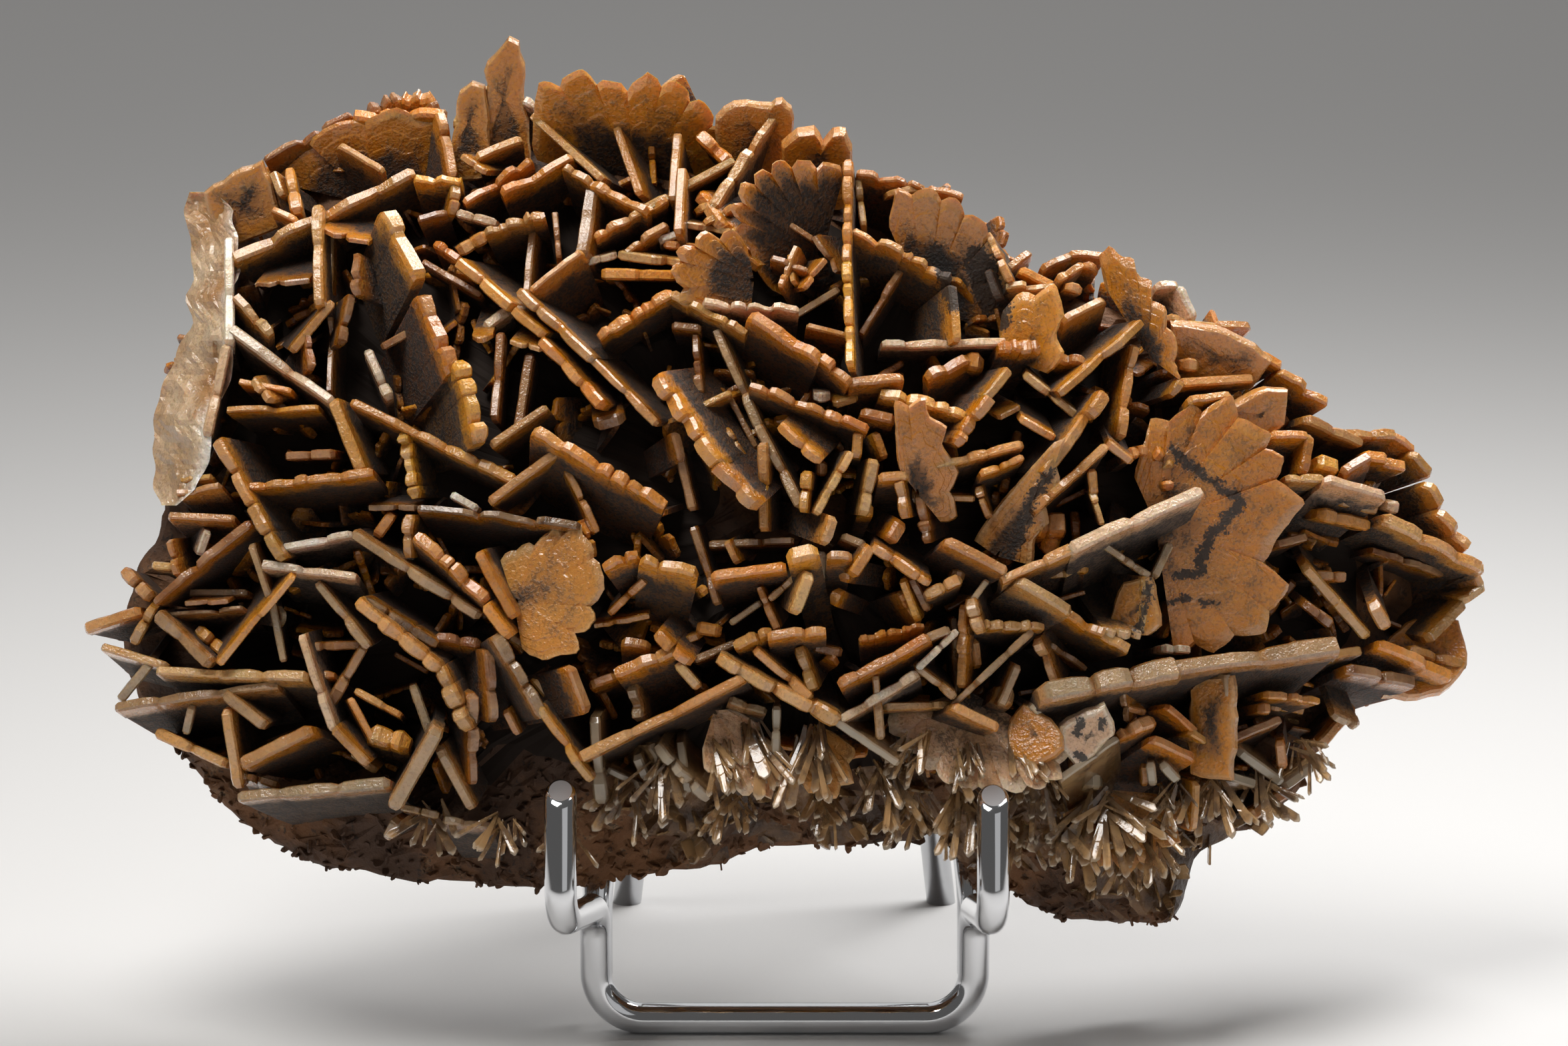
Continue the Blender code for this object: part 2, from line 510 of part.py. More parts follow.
def fused(base, meshes, name):
    """The base mesh with every other mesh joined to it, as one closed solid."""
    scene = bpy.context.scene
    body = bpy.data.objects.new(name, base)
    scene.collection.objects.link(body)
    tools = bpy.data.collections.new("crystals")
    scene.collection.children.link(tools)
    for mesh in meshes:
        tools.objects.link(bpy.data.objects.new(mesh.name, mesh))
    union = body.modifiers.new("fuse", "BOOLEAN")
    union.operation = "UNION"
    union.solver = "EXACT"
    union.operand_type = "COLLECTION"
    union.collection = tools
    bpy.context.view_layer.update()
    ready = body.evaluated_get(bpy.context.evaluated_depsgraph_get())
    whole = bpy.data.meshes.new_from_object(ready)
    body.modifiers.remove(union)
    body.data = whole
    whole.name = name
    for tool in list(tools.objects):
        bpy.data.objects.remove(tool)
    bpy.data.collections.remove(tools)
    clean(whole)
    return body


def clean(mesh):
    """Keeps the one connected solid, closes hairline splits and leaves triangles."""
    bm = bmesh.new()
    bm.from_mesh(mesh)
    bmesh.ops.dissolve_limit(bm, angle_limit=FLAT, verts=bm.verts, edges=bm.edges)
    islands = []
    left = set(bm.verts)
    while left:
        seed = left.pop()
        island, queue = {seed}, [seed]
        while queue:
            vert = queue.pop()
            for edge in vert.link_edges:
                other = edge.other_vert(vert)
                if other in left:
                    left.discard(other)
                    island.add(other)
                    queue.append(other)
        islands.append(island)
    largest = max(islands, key=len)
    spare = [v for island in islands if island is not largest for v in island]
    bmesh.ops.delete(bm, geom=spare, context="VERTS")
    bmesh.ops.triangulate(bm, faces=bm.faces)
    bm.to_mesh(mesh)
    bm.free()


def route(corners, bends):
    """A centre line through corners, each rounded by its bend radius."""
    points = [corners[0]]
    for before, corner, after, radius in zip(corners, corners[1:], corners[2:], bends):
        a = (before - corner).normalized()
        b = (after - corner).normalized()
        half = a.angle(b) * 0.5
        setback = radius / math.tan(half)
        centre = corner + (a + b).normalized() * (radius / math.sin(half))
        first = corner + a * setback - centre
        last = corner + b * setback - centre
        axis = first.cross(last).normalized()
        sweep = first.angle(last)
        for step in range(BEND_STEPS + 1):
            turn = Matrix.Rotation(sweep * step / BEND_STEPS, 3, axis)
            points.append(centre + turn @ first)
    points.append(corners[-1])
    return points


def wire_mesh(points, name, floor_ends=False):
    """A round wire along points, with a flat of its section facing straight down at its middle bar."""
    count = len(points)
    ways = [(b - a).normalized() for a, b in zip(points, points[1:])]
    middle = count // 2
    down = Vector((0.0, 0.0, -1.0))
    start = (down - ways[middle - 1] * down.dot(ways[middle - 1])).normalized()
    downs = [None] * len(ways)
    downs[middle - 1] = start
    for i in range(middle, len(ways)):
        downs[i] = ways[i - 1].rotation_difference(ways[i]) @ downs[i - 1]
    for i in range(middle - 2, -1, -1):
        downs[i] = ways[i + 1].rotation_difference(ways[i]) @ downs[i + 1]
    bm = bmesh.new()
    rings = []
    radius = WIRE * 0.5
    for i, point in enumerate(points):
        before = ways[max(0, i - 1)]
        after = ways[min(i, len(ways) - 1)]
        way = (before + after).normalized()
        down = downs[max(0, i - 1)]
        side = before.cross(down)
        stop = way
        if floor_ends and i in (0, count - 1):
            stop = Vector((0.0, 0.0, 1.0))
        ring = []
        for k in range(WIRE_SIDES):
            angle = 2.0 * math.pi * (k + 0.5) / WIRE_SIDES
            spot = point + (down * math.cos(angle) + side * math.sin(angle)) * radius
            along = before if i else after
            slide = (point - spot).dot(stop) / along.dot(stop)
            ring.append(bm.verts.new(world(spot + along * slide)))
        rings.append(ring)
    for one, two in zip(rings, rings[1:]):
        for k in range(WIRE_SIDES):
            j = (k + 1) % WIRE_SIDES
            bm.faces.new((one[k], one[j], two[j], two[k]))
    bm.faces.new(reversed(rings[0]))
    bm.faces.new(rings[-1])
    bmesh.ops.recalc_face_normals(bm, faces=bm.faces)
    mesh = bpy.data.meshes.new(name)
    bm.to_mesh(mesh)
    bm.free()
    return mesh


def bar_point(x):
    """Where the front floor bar passes x on the face, straight below the elbows."""
    elbow = lean(spread(x, ARM_Z, ELBOW_DEPTH))
    depth = ELBOW_DEPTH
    for _ in range(20):
        low = lean(spread(x, BAR_Z, depth))
        depth += elbow.y - low.y
    return lean(spread(x, BAR_Z, depth))


def front_wire():
    """Prong, hook, arm and leg on each side, in one wire with the floor bar between them."""
    halves = []
    for prong_x, top, elbow_x in zip(PRONG_X, PRONG_TOP, ELBOW_X):
        hook = spread(prong_x, ARM_Z, PRONG_DEPTH)
        tip = spread(prong_x, top, PRONG_DEPTH)
        elbow = spread(elbow_x, 0.0, ELBOW_DEPTH)
        elbow.z = hook.z
        tip.x = hook.x
        low = bar_point(elbow_x)
        low.x = elbow.x
        halves.append([lean(tip), lean(hook), lean(elbow), low])
    bar = bar_point(0.0).z
    for half in halves:
        half[3].z = bar
        half[3].y = half[2].y
    corners = halves[0] + halves[1][::-1]
    bends = (HOOK_BEND, ELBOW_BEND, BAR_BEND, BAR_BEND, ELBOW_BEND, HOOK_BEND)
    points = route(corners, bends)
    return wire_mesh(points, "front_wire"), halves


def backrest_wire(halves):
    """An inverted U whose feet lie behind the legs and whose top bar the specimen leans on."""
    behind = WIRE + WELD_GAP
    feet, knees = [], []
    for half in halves:
        leg = half[3]
        feet.append(Vector((leg.x, leg.y + behind, BACKREST_FOOT_Z)))
        knees.append(Vector((leg.x, leg.y + behind, half[2].z + KNEE_RISE)))
    ends = (-BACKREST_TOP_X, BACKREST_TOP_X)
    tops = [lean(Vector((x, BACKREST_TOP_DEPTH, BACKREST_RISE))) for x in ends]
    corners = [feet[0], knees[0], tops[0], tops[1], knees[1], feet[1]]
    points = route(corners, (KNEE_BEND, TOP_BEND, TOP_BEND, KNEE_BEND))
    return wire_mesh(points, "backrest_wire"), tops


def strut_wire(tops):
    """An inverted U behind the backrest, whose two cut ends stand on the floor."""
    bar = tops[0] + Vector((0.0, WIRE + WELD_GAP, 0.0))
    foot = Vector((STRUT_FOOT_X, STRUT_FOOT_Y, FLOOR_Z))
    top = Vector((STRUT_TOP_X, bar.y, bar.z))
    mirror = Vector((-1.0, 1.0, 1.0))
    points = route([foot * mirror, top * mirror, top, foot], (STRUT_BEND, STRUT_BEND))
    return wire_mesh(points, "strut_wire", floor_ends=True)


def main():
    noise.seed_set(NOISE_SEED)
    for old in list(bpy.data.objects):
        bpy.data.objects.remove(old)
    orange = material("barite", ORANGE, 0.45, 0.0)
    chrome = material("chrome", CHROME, 0.12, 1.0)
    crystals = [crystal_mesh(row, f"crystal_{i}") for i, row in enumerate(CRYSTALS)]
    crystals += [plate_mesh(row, f"plate_{i}") for i, row in enumerate(PLATES)]
    crystals += [stem_mesh(row, f"stem_{i}") for i, row in enumerate(PLATES) if not rooted(row)]
    specimen = fused(matrix_mesh(), crystals, "barite_specimen")
    specimen.data.materials.clear()
    specimen.data.materials.append(orange)
    front, halves = front_wire()
    backrest, tops = backrest_wire(halves)
    strut = strut_wire(tops)
    for mesh in (front, backrest, strut):
        mesh.materials.append(chrome)
        bpy.context.scene.collection.objects.link(bpy.data.objects.new(mesh.name, mesh))


main()
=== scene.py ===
"""The looks of a bladed barite specimen that rests on a small easel of bent chrome wire.

Lengths are in millimetres in the face frame: x to the right, y into the specimen, z up its front.
The face leans back by LEAN, and world() turns it, sets it down and changes to metres. A crystal's
place is read on the face as the eye sees it, at VIEW from the face, so a point that lies deeper is
spread from the line of sight by spread().
"""
import math
import random

import bmesh
import bpy
from mathutils import Matrix, Vector, noise

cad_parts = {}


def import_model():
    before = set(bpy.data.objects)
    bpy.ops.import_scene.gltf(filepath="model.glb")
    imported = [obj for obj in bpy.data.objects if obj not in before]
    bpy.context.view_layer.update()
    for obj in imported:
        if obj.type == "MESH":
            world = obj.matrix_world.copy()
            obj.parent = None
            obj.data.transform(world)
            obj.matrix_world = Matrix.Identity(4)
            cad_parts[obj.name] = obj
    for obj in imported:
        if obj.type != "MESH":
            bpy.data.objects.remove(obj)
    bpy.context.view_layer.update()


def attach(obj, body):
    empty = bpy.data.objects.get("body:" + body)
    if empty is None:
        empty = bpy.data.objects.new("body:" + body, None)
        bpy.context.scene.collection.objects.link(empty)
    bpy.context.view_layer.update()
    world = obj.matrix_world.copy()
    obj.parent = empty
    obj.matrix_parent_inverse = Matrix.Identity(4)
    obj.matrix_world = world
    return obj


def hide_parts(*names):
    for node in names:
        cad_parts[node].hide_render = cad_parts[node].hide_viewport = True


MM = 0.001
SEED = 11
LEAN = math.radians(12.0)
VIEW = 600.0
SIGHT = (0.0, 44.5)
FRAME_WIDTH = 188.0
SENSOR = 36.0
CENTRE_X = 1.456
CENTRE_Y = 42.167
FLOOR_Z = -24.989

# The face: how far its edges fall back from the middle of the front.
FACE_MIDDLE = (0.0, 46.0)
HALF_WIDTH = 84.0
HALF_HEIGHT = 50.0
FALL_LEFT = 15.0
FALL_RIGHT = 34.0
FALL_TOP = 18.0
FALL_FOOT = 9.0

# The matrix that carries the crystals.
MATRIX_MIDDLE = (0.0, 45.0)
TIP_TO_MATRIX = 9.0
TIP_TO_RIM = 15.0
BACK_AT_FOOT = 28.5
BACK_SLOPE = 0.22
FRONT_RINGS = 13
BACK_RINGS = 30
OUTLINE_STEPS = 8
MATRIX_OUTLINE = (
    (-69.0, 82.0), (-62.0, 83.0), (-50.0, 88.0), (-38.0, 89.0), (-28.0, 90.0), (-14.0, 89.0),
    (0.0, 86.0), (12.0, 83.0), (22.0, 78.0), (34.0, 72.0), (46.0, 67.0), (57.0, 60.0),
    (68.0, 51.0), (75.0, 44.0), (78.0, 36.0), (76.0, 27.0), (69.5, 24.0), (65.0, 17.0),
    (58.0, 9.0), (50.0, 4.5), (46.5, -2.0), (40.0, -3.4), (33.0, -2.0), (27.0, 0.7),
    (22.0, 1.6), (18.5, 7.0), (8.0, 5.8), (-2.0, 5.4), (-12.0, 3.0), (-25.0, 0.9),
    (-35.0, 0.5), (-48.0, 2.2), (-60.0, 5.4), (-66.0, 9.0), (-72.0, 16.0), (-77.0, 23.0),
    (-79.0, 31.0), (-78.0, 38.0), (-74.5, 45.0), (-74.8, 54.0), (-72.0, 62.0), (-70.0, 70.0),
)

# Colours of the crystals' bodies, by the letter in the tables, and of what all of them share: the rim's
# paler colour with a painted highlight, a painted amber glow, painted shade towards the root (its colour
# also makes dark specks), and dust.
TONES = {
    "o": (0.52, 0.185, 0.011),
    "y": (0.66, 0.285, 0.022),
    "t": (0.44, 0.185, 0.030),
    "p": (0.52, 0.265, 0.080),
    "g": (0.27, 0.185, 0.100),
    "w": (0.64, 0.520, 0.390),
    "b": (0.20, 0.068, 0.016),
    "k": (0.060, 0.030, 0.014),
}
RIM_PALE_AND_HIGHLIGHT_COLOUR = (0.74, 0.47, 0.25)
PAINTED_AMBER_GLOW = (0.60, 0.205, 0.008)
ROOT_SHADE_AND_SPECK_COLOUR = (0.040, 0.014, 0.003)
DUST_COLOUR = (0.010, 0.008, 0.007)

# Crystals seen on their rim. Columns: x and z of both ends, thickness, lean in degrees (positive
# shows the face on the left of the run), depth past the face, number of lobes and tone.
BLADES = (
    # upper left
    (-50.4, 94.2, -46.0, 96.2, 2.4, -36, 4, 3, "b"),
    (-46.2, 96.0, -42.0, 95.8, 2.6, -36, 4, 3, "t"),
    (-42.6, 95.6, -40.8, 93.6, 2.2, -30, 4, 2, "b"),
    (-62.5, 88.3, -52.0, 93.8, 1.2, -38, 3, 3, "b"),
    (-52.0, 93.4, -41.0, 94.4, 2.2, -40, 3, 3, "o"),
    (-41.2, 94.0, -39.5, 86.5, 1.6, -22, 3, 2, "t"),
    (-53.5, 90.0, -48.0, 87.0, 1.3, -30, 4, 1, "t"),
    (-66.5, 76.4, -44.5, 87.0, 1.9, -26, 0, 4, "t"),
    (-44.5, 86.0, -38.8, 86.2, 1.3, -42, 0, 2, "y"),
    (-56.2, 83.0, -56.0, 71.0, 1.9, 10, -1, 2, "p"),
    (-54.4, 80.0, -54.5, 60.0, 1.1, 10, 4, 2, "b"),
    (-59.0, 65.0, -54.0, 71.0, 1.3, 12, 1, 1, "t"),
    (-47.6, 82.6, -43.3, 74.6, 2.8, -34, -3, 2, "t"),
    (-43.5, 76.0, -36.5, 72.0, 1.0, -10, 3, 1, "b"),
    (-38.5, 83.2, -30.3, 88.3, 1.4, -26, 1, 3, "o"),
    (-66.6, 79.0, -66.5, 66.0, 1.6, -30, 0, 2, "w"),
    (-66.8, 66.0, -69.2, 55.0, 1.6, -30, 0, 2, "w"),
    # left middle
    (-66.5, 68.0, -54.2, 59.3, 1.5, -14, 0, 2, "w"),
    (-54.3, 59.4, -50.8, 50.5, 1.8, 12, 0, 1, "t"),
    (-67.0, 58.1, -56.0, 58.5, 1.1, -18, 1, 2, "o"),
    (-65.5, 61.6, -59.2, 60.5, 0.9, -18, 1, 1, "o"),
    (-64.5, 49.0, -49.5, 50.8, 1.4, -16, -1, 5, "o"),
    (-74.0, 45.5, -66.0, 45.2, 1.2, -20, 1, 1, "p"),
    (-68.2, 54.6, -64.0, 46.5, 1.8, 14, -2, 2, "t"),
    (-64.2, 46.8, -60.3, 40.0, 1.8, 14, -2, 2, "t"),
    # left
    (-64.3, 44.6, -75.8, 35.0, 1.4, 16, -1, 2, "b"),
    (-84.2, 31.8, -77.5, 34.0, 1.9, -12, 2, 1, "p"),
    (-82.0, 29.8, -74.0, 27.4, 1.3, -20, 1, 1, "p"),
    (-75.5, 27.0, -57.2, 26.2, 1.6, -16, -1, 3, "p"),
    (-80.5, 22.6, -61.0, 25.3, 1.6, -22, 0, 3, "g"),
    (-79.8, 23.0, -76.0, 27.6, 1.4, 12, 1, 1, "g"),
    (-75.5, 33.6, -69.0, 27.4, 1.9, 12, -2, 2, "g"),
    (-67.8, 27.3, -58.8, 38.0, 1.3, 18, -2, 2, "y"),
    (-71.5, 36.2, -64.5, 36.2, 1.1, -10, 3, 1, "k"),
    (-64.0, 42.0, -61.8, 35.4, 1.3, 10, 0, 1, "g"),
    (-62.8, 39.6, -51.5, 38.3, 1.4, -18, -1, 2, "w"),
    (-60.3, 41.6, -52.0, 43.3, 1.2, -14, 0, 2, "w"),
    (-61.4, 35.0, -60.0, 27.8, 1.1, 0, 0, 1, "g"),
    (-56.2, 37.3, -50.0, 29.5, 1.5, 12, 0, 2, "g"),
    (-58.0, 31.0, -54.2, 19.5, 1.5, 12, -2, 2, "w"),
    (-54.2, 19.8, -50.0, 15.4, 1.6, 12, -2, 1, "t"),
    (-67.3, 24.0, -62.3, 20.0, 1.7, 10, -1, 1, "g"),
    (-52.0, 23.5, -49.0, 18.0, 1.1, -12, 0, 1, "o"),
    # lower left
    (-67.0, 22.0, -65.5, 12.5, 1.7, 8, -1, 1, "p"),
    (-65.5, 15.5, -57.0, 19.8, 2.0, -16, -2, 1, "t"),
    (-75.5, 19.5, -67.0, 15.6, 1.6, -24, 1, 2, "p"),
    (-65.8, 11.8, -47.5, 13.4, 1.8, -18, -2, 3, "g"),
    # top, left of the middle
    (-39.6, 92.4, -35.6, 97.2, 1.3, -20, 3, 2, "t"),
    (-37.0, 88.5, -31.5, 90.8, 1.5, -20, 2, 1, "t"),
    (-30.5, 93.6, -22.0, 85.8, 1.3, 8, 1, 1, "p"),
    (-34.0, 84.3, -25.5, 88.8, 1.6, -26, 0, 2, "o"),
    (-26.5, 87.5, -16.3, 82.0, 1.5, -20, -1, 5, "o"),
    (-20.3, 92.3, -17.5, 84.0, 1.3, 14, 3, 1, "t"),
    (-23.0, 85.4, -24.5, 76.4, 2.2, 18, 1, 1, "b"),
    (-36.0, 79.6, -28.8, 81.8, 1.5, -20, -1, 5, "t"),
    (-30.2, 80.0, -31.2, 70.0, 1.2, 12, 3, 1, "b"),
    (-22.7, 79.0, -14.0, 83.5, 1.2, -18, 0, 4, "t"),
    (-24.3, 77.3, -30.5, 72.6, 1.1, 34, -1, 1, "t"),
    (-14.8, 96.6, -12.3, 98.6, 1.2, -20, 3, 1, "t"),
    (-12.8, 91.5, -13.5, 83.5, 1.3, 10, 1, 1, "t"),
    (-12.3, 87.4, -12.8, 79.5, 1.5, 10, -1, 1, "t"),
    (-17.0, 82.0, -5.9, 88.2, 1.3, -12, 1, 2, "p"),
    (-0.2, 95.0, -8.6, 82.8, 1.7, 12, 1, 3, "p"),
    # middle left
    (-43.2, 72.4, -39.2, 63.2, 2.7, -30, -3, 3, "o"),
    (-38.6, 64.4, -36.0, 54.5, 2.6, -26, -3, 4, "y"),
    (-39.5, 76.0, -29.0, 67.0, 1.7, 14, -1, 3, "o"),
    (-29.5, 66.6, -21.8, 58.4, 1.8, 14, -1, 3, "o"),
    (-32.2, 72.4, -23.2, 64.0, 1.6, 12, -2, 3, "t"),
    (-23.2, 64.2, -15.3, 56.3, 1.2, 12, -1, 2, "t"),
    (-34.0, 67.5, -34.8, 57.0, 1.3, 8, 1, 2, "b"),
    (-30.5, 65.0, -32.0, 55.5, 1.4, 8, 2, 1, "b"),
    (-35.3, 53.8, -28.5, 58.5, 1.3, -12, 0, 1, "t"),
    (-52.0, 59.3, -32.3, 49.8, 1.5, -14, 0, 4, "t"),
    (-35.5, 47.0, -26.8, 53.5, 1.3, -12, -1, 1, "t"),
    (-30.0, 56.0, -14.0, 47.2, 2.0, -26, -3, 6, "o"),
    (-22.3, 67.0, -13.4, 72.4, 1.8, -14, -1, 5, "o"),
    (-13.6, 72.3, -4.5, 67.6, 1.4, -18, -1, 4, "t"),
    (-46.0, 55.5, -44.5, 47.5, 1.8, 14, 1, 5, "y"),
    (-48.3, 65.5, -44.2, 67.8, 1.2, 0, 3, 1, "b"),
    # lower, left of the middle
    (-44.0, 46.6, -24.5, 44.3, 1.3, -22, 0, 3, "k"),
    (-52.0, 43.2, -36.6, 33.2, 1.6, 12, 0, 3, "g"),
    (-44.0, 43.4, -35.4, 35.4, 1.9, -20, -2, 4, "o"),
    (-36.0, 34.6, -33.0, 30.6, 1.8, 12, -3, 1, "o"),
    (-34.5, 31.2, -28.5, 21.4, 1.9, -20, -3, 3, "g"),
    (-29.5, 22.2, -23.2, 13.4, 1.4, 14, -3, 2, "t"),
    (-36.8, 41.0, -32.5, 33.0, 1.6, 10, -2, 1, "o"),
    (-22.0, 39.6, -17.8, 41.3, 1.8, -34, -2, 2, "o"),
    (-17.2, 40.4, -10.2, 38.6, 1.8, -34, -2, 2, "y"),
    (-20.6, 27.0, -12.6, 29.6, 2.0, -30, -1, 2, "o"),
    (-25.5, 27.5, -23.2, 21.8, 1.8, -40, -2, 1, "o"),
    (-35.2, 29.2, -34.6, 20.5, 2.0, -24, 0, 2, "b"),
    (-37.3, 24.0, -37.0, 13.0, 1.8, -20, 0, 3, "b"),
    (-50.5, 35.3, -41.8, 29.8, 1.5, 10, 0, 3, "k"),
    (-51.5, 35.0, -41.5, 26.8, 2.0, 12, -2, 4, "p"),
    (-41.5, 27.0, -38.0, 19.4, 2.4, 12, -2, 3, "p"),
    (-44.5, 25.0, -42.0, 18.0, 1.4, 0, 1, 1, "g"),
    (-41.5, 19.6, -47.0, 9.8, 2.4, -10, -3, 1, "g"),
    (-41.5, 17.6, -37.5, 10.0, 1.7, 10, -1, 1, "g"),
    (-22.8, 21.0, -22.0, 10.6, 2.0, 8, -1, 2, "g"),
    (-24.7, 16.3, -5.0, 26.0, 1.6, -14, -3, 3, "p"),
    # middle
    (-10.8, 84.0, -3.9, 75.0, 2.0, 30, 2, 4, "o"),
    (7.6, 88.4, 7.4, 76.0, 1.4, 8, -3, 5, "o"),
    (7.4, 76.2, 7.9, 63.4, 1.4, 8, -3, 5, "y"),
    (8.8, 86.9, 21.6, 84.0, 1.2, -34, 0, 5, "t"),
    (8.2, 79.8, 14.4, 77.2, 1.3, -34, -1, 2, "t"),
    (14.3, 77.2, 20.2, 73.9, 1.4, -30, 0, 4, "o"),
    (20.3, 73.2, 21.0, 66.4, 1.4, -28, 0, 1, "t"),
    (14.2, 75.4, 9.3, 67.5, 1.1, 10, 3, 2, "b"),
    (-9.8, 71.0, 1.8, 70.3, 1.1, -26, -1, 4, "w"),
    (-4.0, 69.9, 4.6, 64.6, 2.4, -24, -3, 2, "o"),
    (4.2, 64.9, 8.1, 61.4, 1.8, -20, -2, 2, "o"),
    (0.4, 68.8, 6.7, 72.6, 1.2, 0, 3, 1, "g"),
    (2.7, 68.3, 7.8, 67.1, 1.0, -30, 2, 1, "o"),
    (11.9, 66.1, 26.8, 66.2, 1.2, -14, 1, 3, "w"),
    (7.8, 61.5, 14.4, 62.2, 1.5, -24, -1, 1, "t"),
    (11.8, 60.6, 22.0, 57.8, 2.0, -26, -1, 4, "y"),
    (17.0, 62.4, 22.2, 64.8, 2.2, -30, 1, 2, "o"),
    (-4.0, 61.3, 10.2, 55.9, 1.3, -18, -2, 5, "t"),
    (-8.3, 68.0, -3.2, 56.0, 1.5, 10, 2, 2, "g"),
    (-3.3, 56.2, 2.0, 46.4, 1.5, 10, 0, 2, "g"),
    (-15.9, 62.0, -8.0, 51.0, 2.6, 26, -4, 4, "o"),
    (-8.9, 51.6, -3.4, 46.0, 2.6, 24, -4, 2, "o"),
    (-10.8, 67.2, -10.2, 60.0, 1.3, 8, 2, 3, "b"),
    (-11.0, 58.0, -6.4, 60.3, 1.0, -14, 1, 1, "t"),
    (-6.5, 59.5, -3.3, 53.5, 0.9, 0, 4, 1, "b"),
    (-12.6, 53.0, -11.0, 46.0, 1.4, 8, 2, 1, "b"),
    (-2.6, 54.2, -2.5, 43.5, 1.6, 10, -1, 2, "t"),
    (-0.9, 55.9, 4.2, 51.6, 1.8, 26, -2, 2, "o"),
    (2.7, 50.8, 2.2, 45.8, 1.5, 10, -2, 2, "y"),
    (8.9, 55.6, 8.7, 52.4, 1.5, 0, -1, 1, "o"),
    (8.2, 53.0, 3.9, 45.5, 1.2, -10, -2, 3, "p"),
    (13.4, 57.0, 9.3, 58.0, 1.6, 20, 0, 1, "t"),
    (17.2, 51.2, 28.8, 54.2, 1.5, -14, -1, 3, "p"),
    (23.6, 50.5, 28.8, 52.6, 1.1, -14, -1, 3, "o"),
    (10.9, 52.2, 9.6, 45.4, 1.9, -10, -1, 2, "p"),
    (11.4, 50.1, 15.0, 50.4, 1.4, -20, -2, 1, "t"),
    (13.6, 49.8, 14.4, 45.0, 1.8, 14, -2, 2, "o"),
    (16.0, 48.0, 17.0, 42.0, 1.6, 14, 0, 3, "b"),
    # lower middle
    (-8.8, 38.2, 0.2, 39.5, 1.6, -16, -3, 1, "o"),
    (0.2, 40.6, 4.0, 41.6, 2.6, -34, -3, 1, "y"),
    (6.2, 45.2, 5.0, 41.7, 1.7, -30, -2, 1, "p"),
    (5.2, 40.8, 8.2, 40.8, 1.5, -30, -2, 1, "t"),
    (8.2, 38.0, 10.6, 41.6, 1.7, 14, -2, 1, "o"),
    (10.6, 41.5, 17.5, 37.0, 1.5, 12, -2, 3, "t"),
    (3.2, 38.5, 1.4, 33.4, 1.9, -14, -3, 1, "p"),
    (-3.1, 36.7, -0.8, 31.6, 1.1, 8, 0, 2, "o"),
    (-1.8, 35.3, 1.3, 38.0, 1.1, 0, 0, 2, "p"),
    (-6.5, 32.4, -2.8, 35.0, 1.0, 0, 1, 1, "g"),
    (-11.0, 28.0, -5.8, 30.2, 1.2, -12, 0, 1, "k"),
    (-6.2, 30.0, -1.6, 31.8, 1.6, -20, -2, 2, "t"),
    (-2.0, 31.2, 5.0, 31.9, 1.7, -20, -3, 2, "t"),
    (-15.6, 31.0, -11.2, 27.4, 1.8, 20, -2, 2, "t"),
    (-12.8, 27.6, -10.2, 24.6, 1.5, 0, -2, 1, "p"),
    (-8.0, 28.0, 6.6, 20.4, 2.3, 14, -3, 4, "p"),
    (6.0, 20.8, 13.8, 15.4, 1.3, 12, -2, 1, "p"),
    (-3.6, 29.2, 3.2, 23.2, 1.5, 12, -2, 2, "p"),
    (1.6, 29.4, 3.6, 24.2, 1.7, 12, -1, 2, "t"),
    (6.4, 20.8, 16.0, 26.6, 1.5, -12, -2, 3, "w"),
    (6.4, 25.3, 17.4, 31.0, 1.6, -20, -3, 3, "o"),
    (17.0, 30.7, 19.9, 31.9, 1.3, -12, -2, 1, "g"),
    (9.0, 30.6, 16.8, 32.4, 1.0, -20, 0, 5, "o"),
    (14.1, 37.7, 16.0, 32.6, 1.2, 14, 1, 1, "y"),
    (15.2, 38.0, 17.2, 33.8, 1.2, 14, 1, 1, "b"),
    (17.0, 36.0, 21.3, 38.0, 1.5, -12, -2, 2, "p"),
    (-9.0, 42.0, 1.2, 42.4, 1.3, -10, 2, 2, "k"),
    (-11.0, 44.0, -8.0, 34.6, 1.2, 10, 1, 2, "b"),
    (20.8, 31.6, 16.0, 27.0, 1.1, 0, -2, 2, "w"),
    (16.0, 27.0, 20.6, 23.4, 1.2, 10, -2, 2, "g"),
    (11.0, 26.0, 11.6, 18.4, 1.3, 0, -2, 2, "g"),
    (-15.4, 17.6, -9.2, 11.0, 1.6, 12, -1, 3, "p"),
    (-0.9, 22.4, -1.0, 16.6, 1.2, 0, -1, 2, "p"),
    # right of the middle
    (27.3, 63.0, 24.2, 59.2, 1.5, -16, -2, 1, "t"),
    (25.0, 59.8, 21.0, 53.8, 1.8, -18, -2, 3, "o"),
    (28.8, 62.3, 36.0, 56.5, 1.2, 10, 1, 2, "p"),
    (38.9, 60.2, 31.6, 50.4, 1.9, -14, -3, 2, "t"),
    (43.4, 68.6, 33.4, 60.0, 1.6, -16, -1, 2, "o"),
    (42.3, 66.0, 40.4, 54.6, 1.6, -22, 1, 3, "o"),
    (28.3, 57.0, 32.5, 54.5, 1.3, 12, -1, 1, "o"),
    (38.8, 54.0, 30.0, 46.2, 1.6, 10, -2, 3, "p"),
    (38.8, 54.0, 41.8, 51.6, 1.3, 10, -1, 1, "t"),
    (36.9, 51.0, 37.2, 47.8, 1.4, 0, -1, 1, "t"),
    (37.0, 48.2, 38.2, 44.2, 1.0, 0, -1, 2, "p"),
    (26.2, 38.0, 34.8, 41.6, 1.6, -20, -3, 2, "p"),
    (34.4, 41.6, 50.3, 48.8, 1.9, -18, -4, 2, "w"),
    (19.6, 42.5, 27.0, 38.8, 1.6, -24, -3, 1, "p"),
    (28.2, 37.8, 34.8, 34.0, 1.9, -30, -3, 1, "p"),
    (34.2, 33.9, 41.7, 29.2, 1.8, -20, -2, 3, "y"),
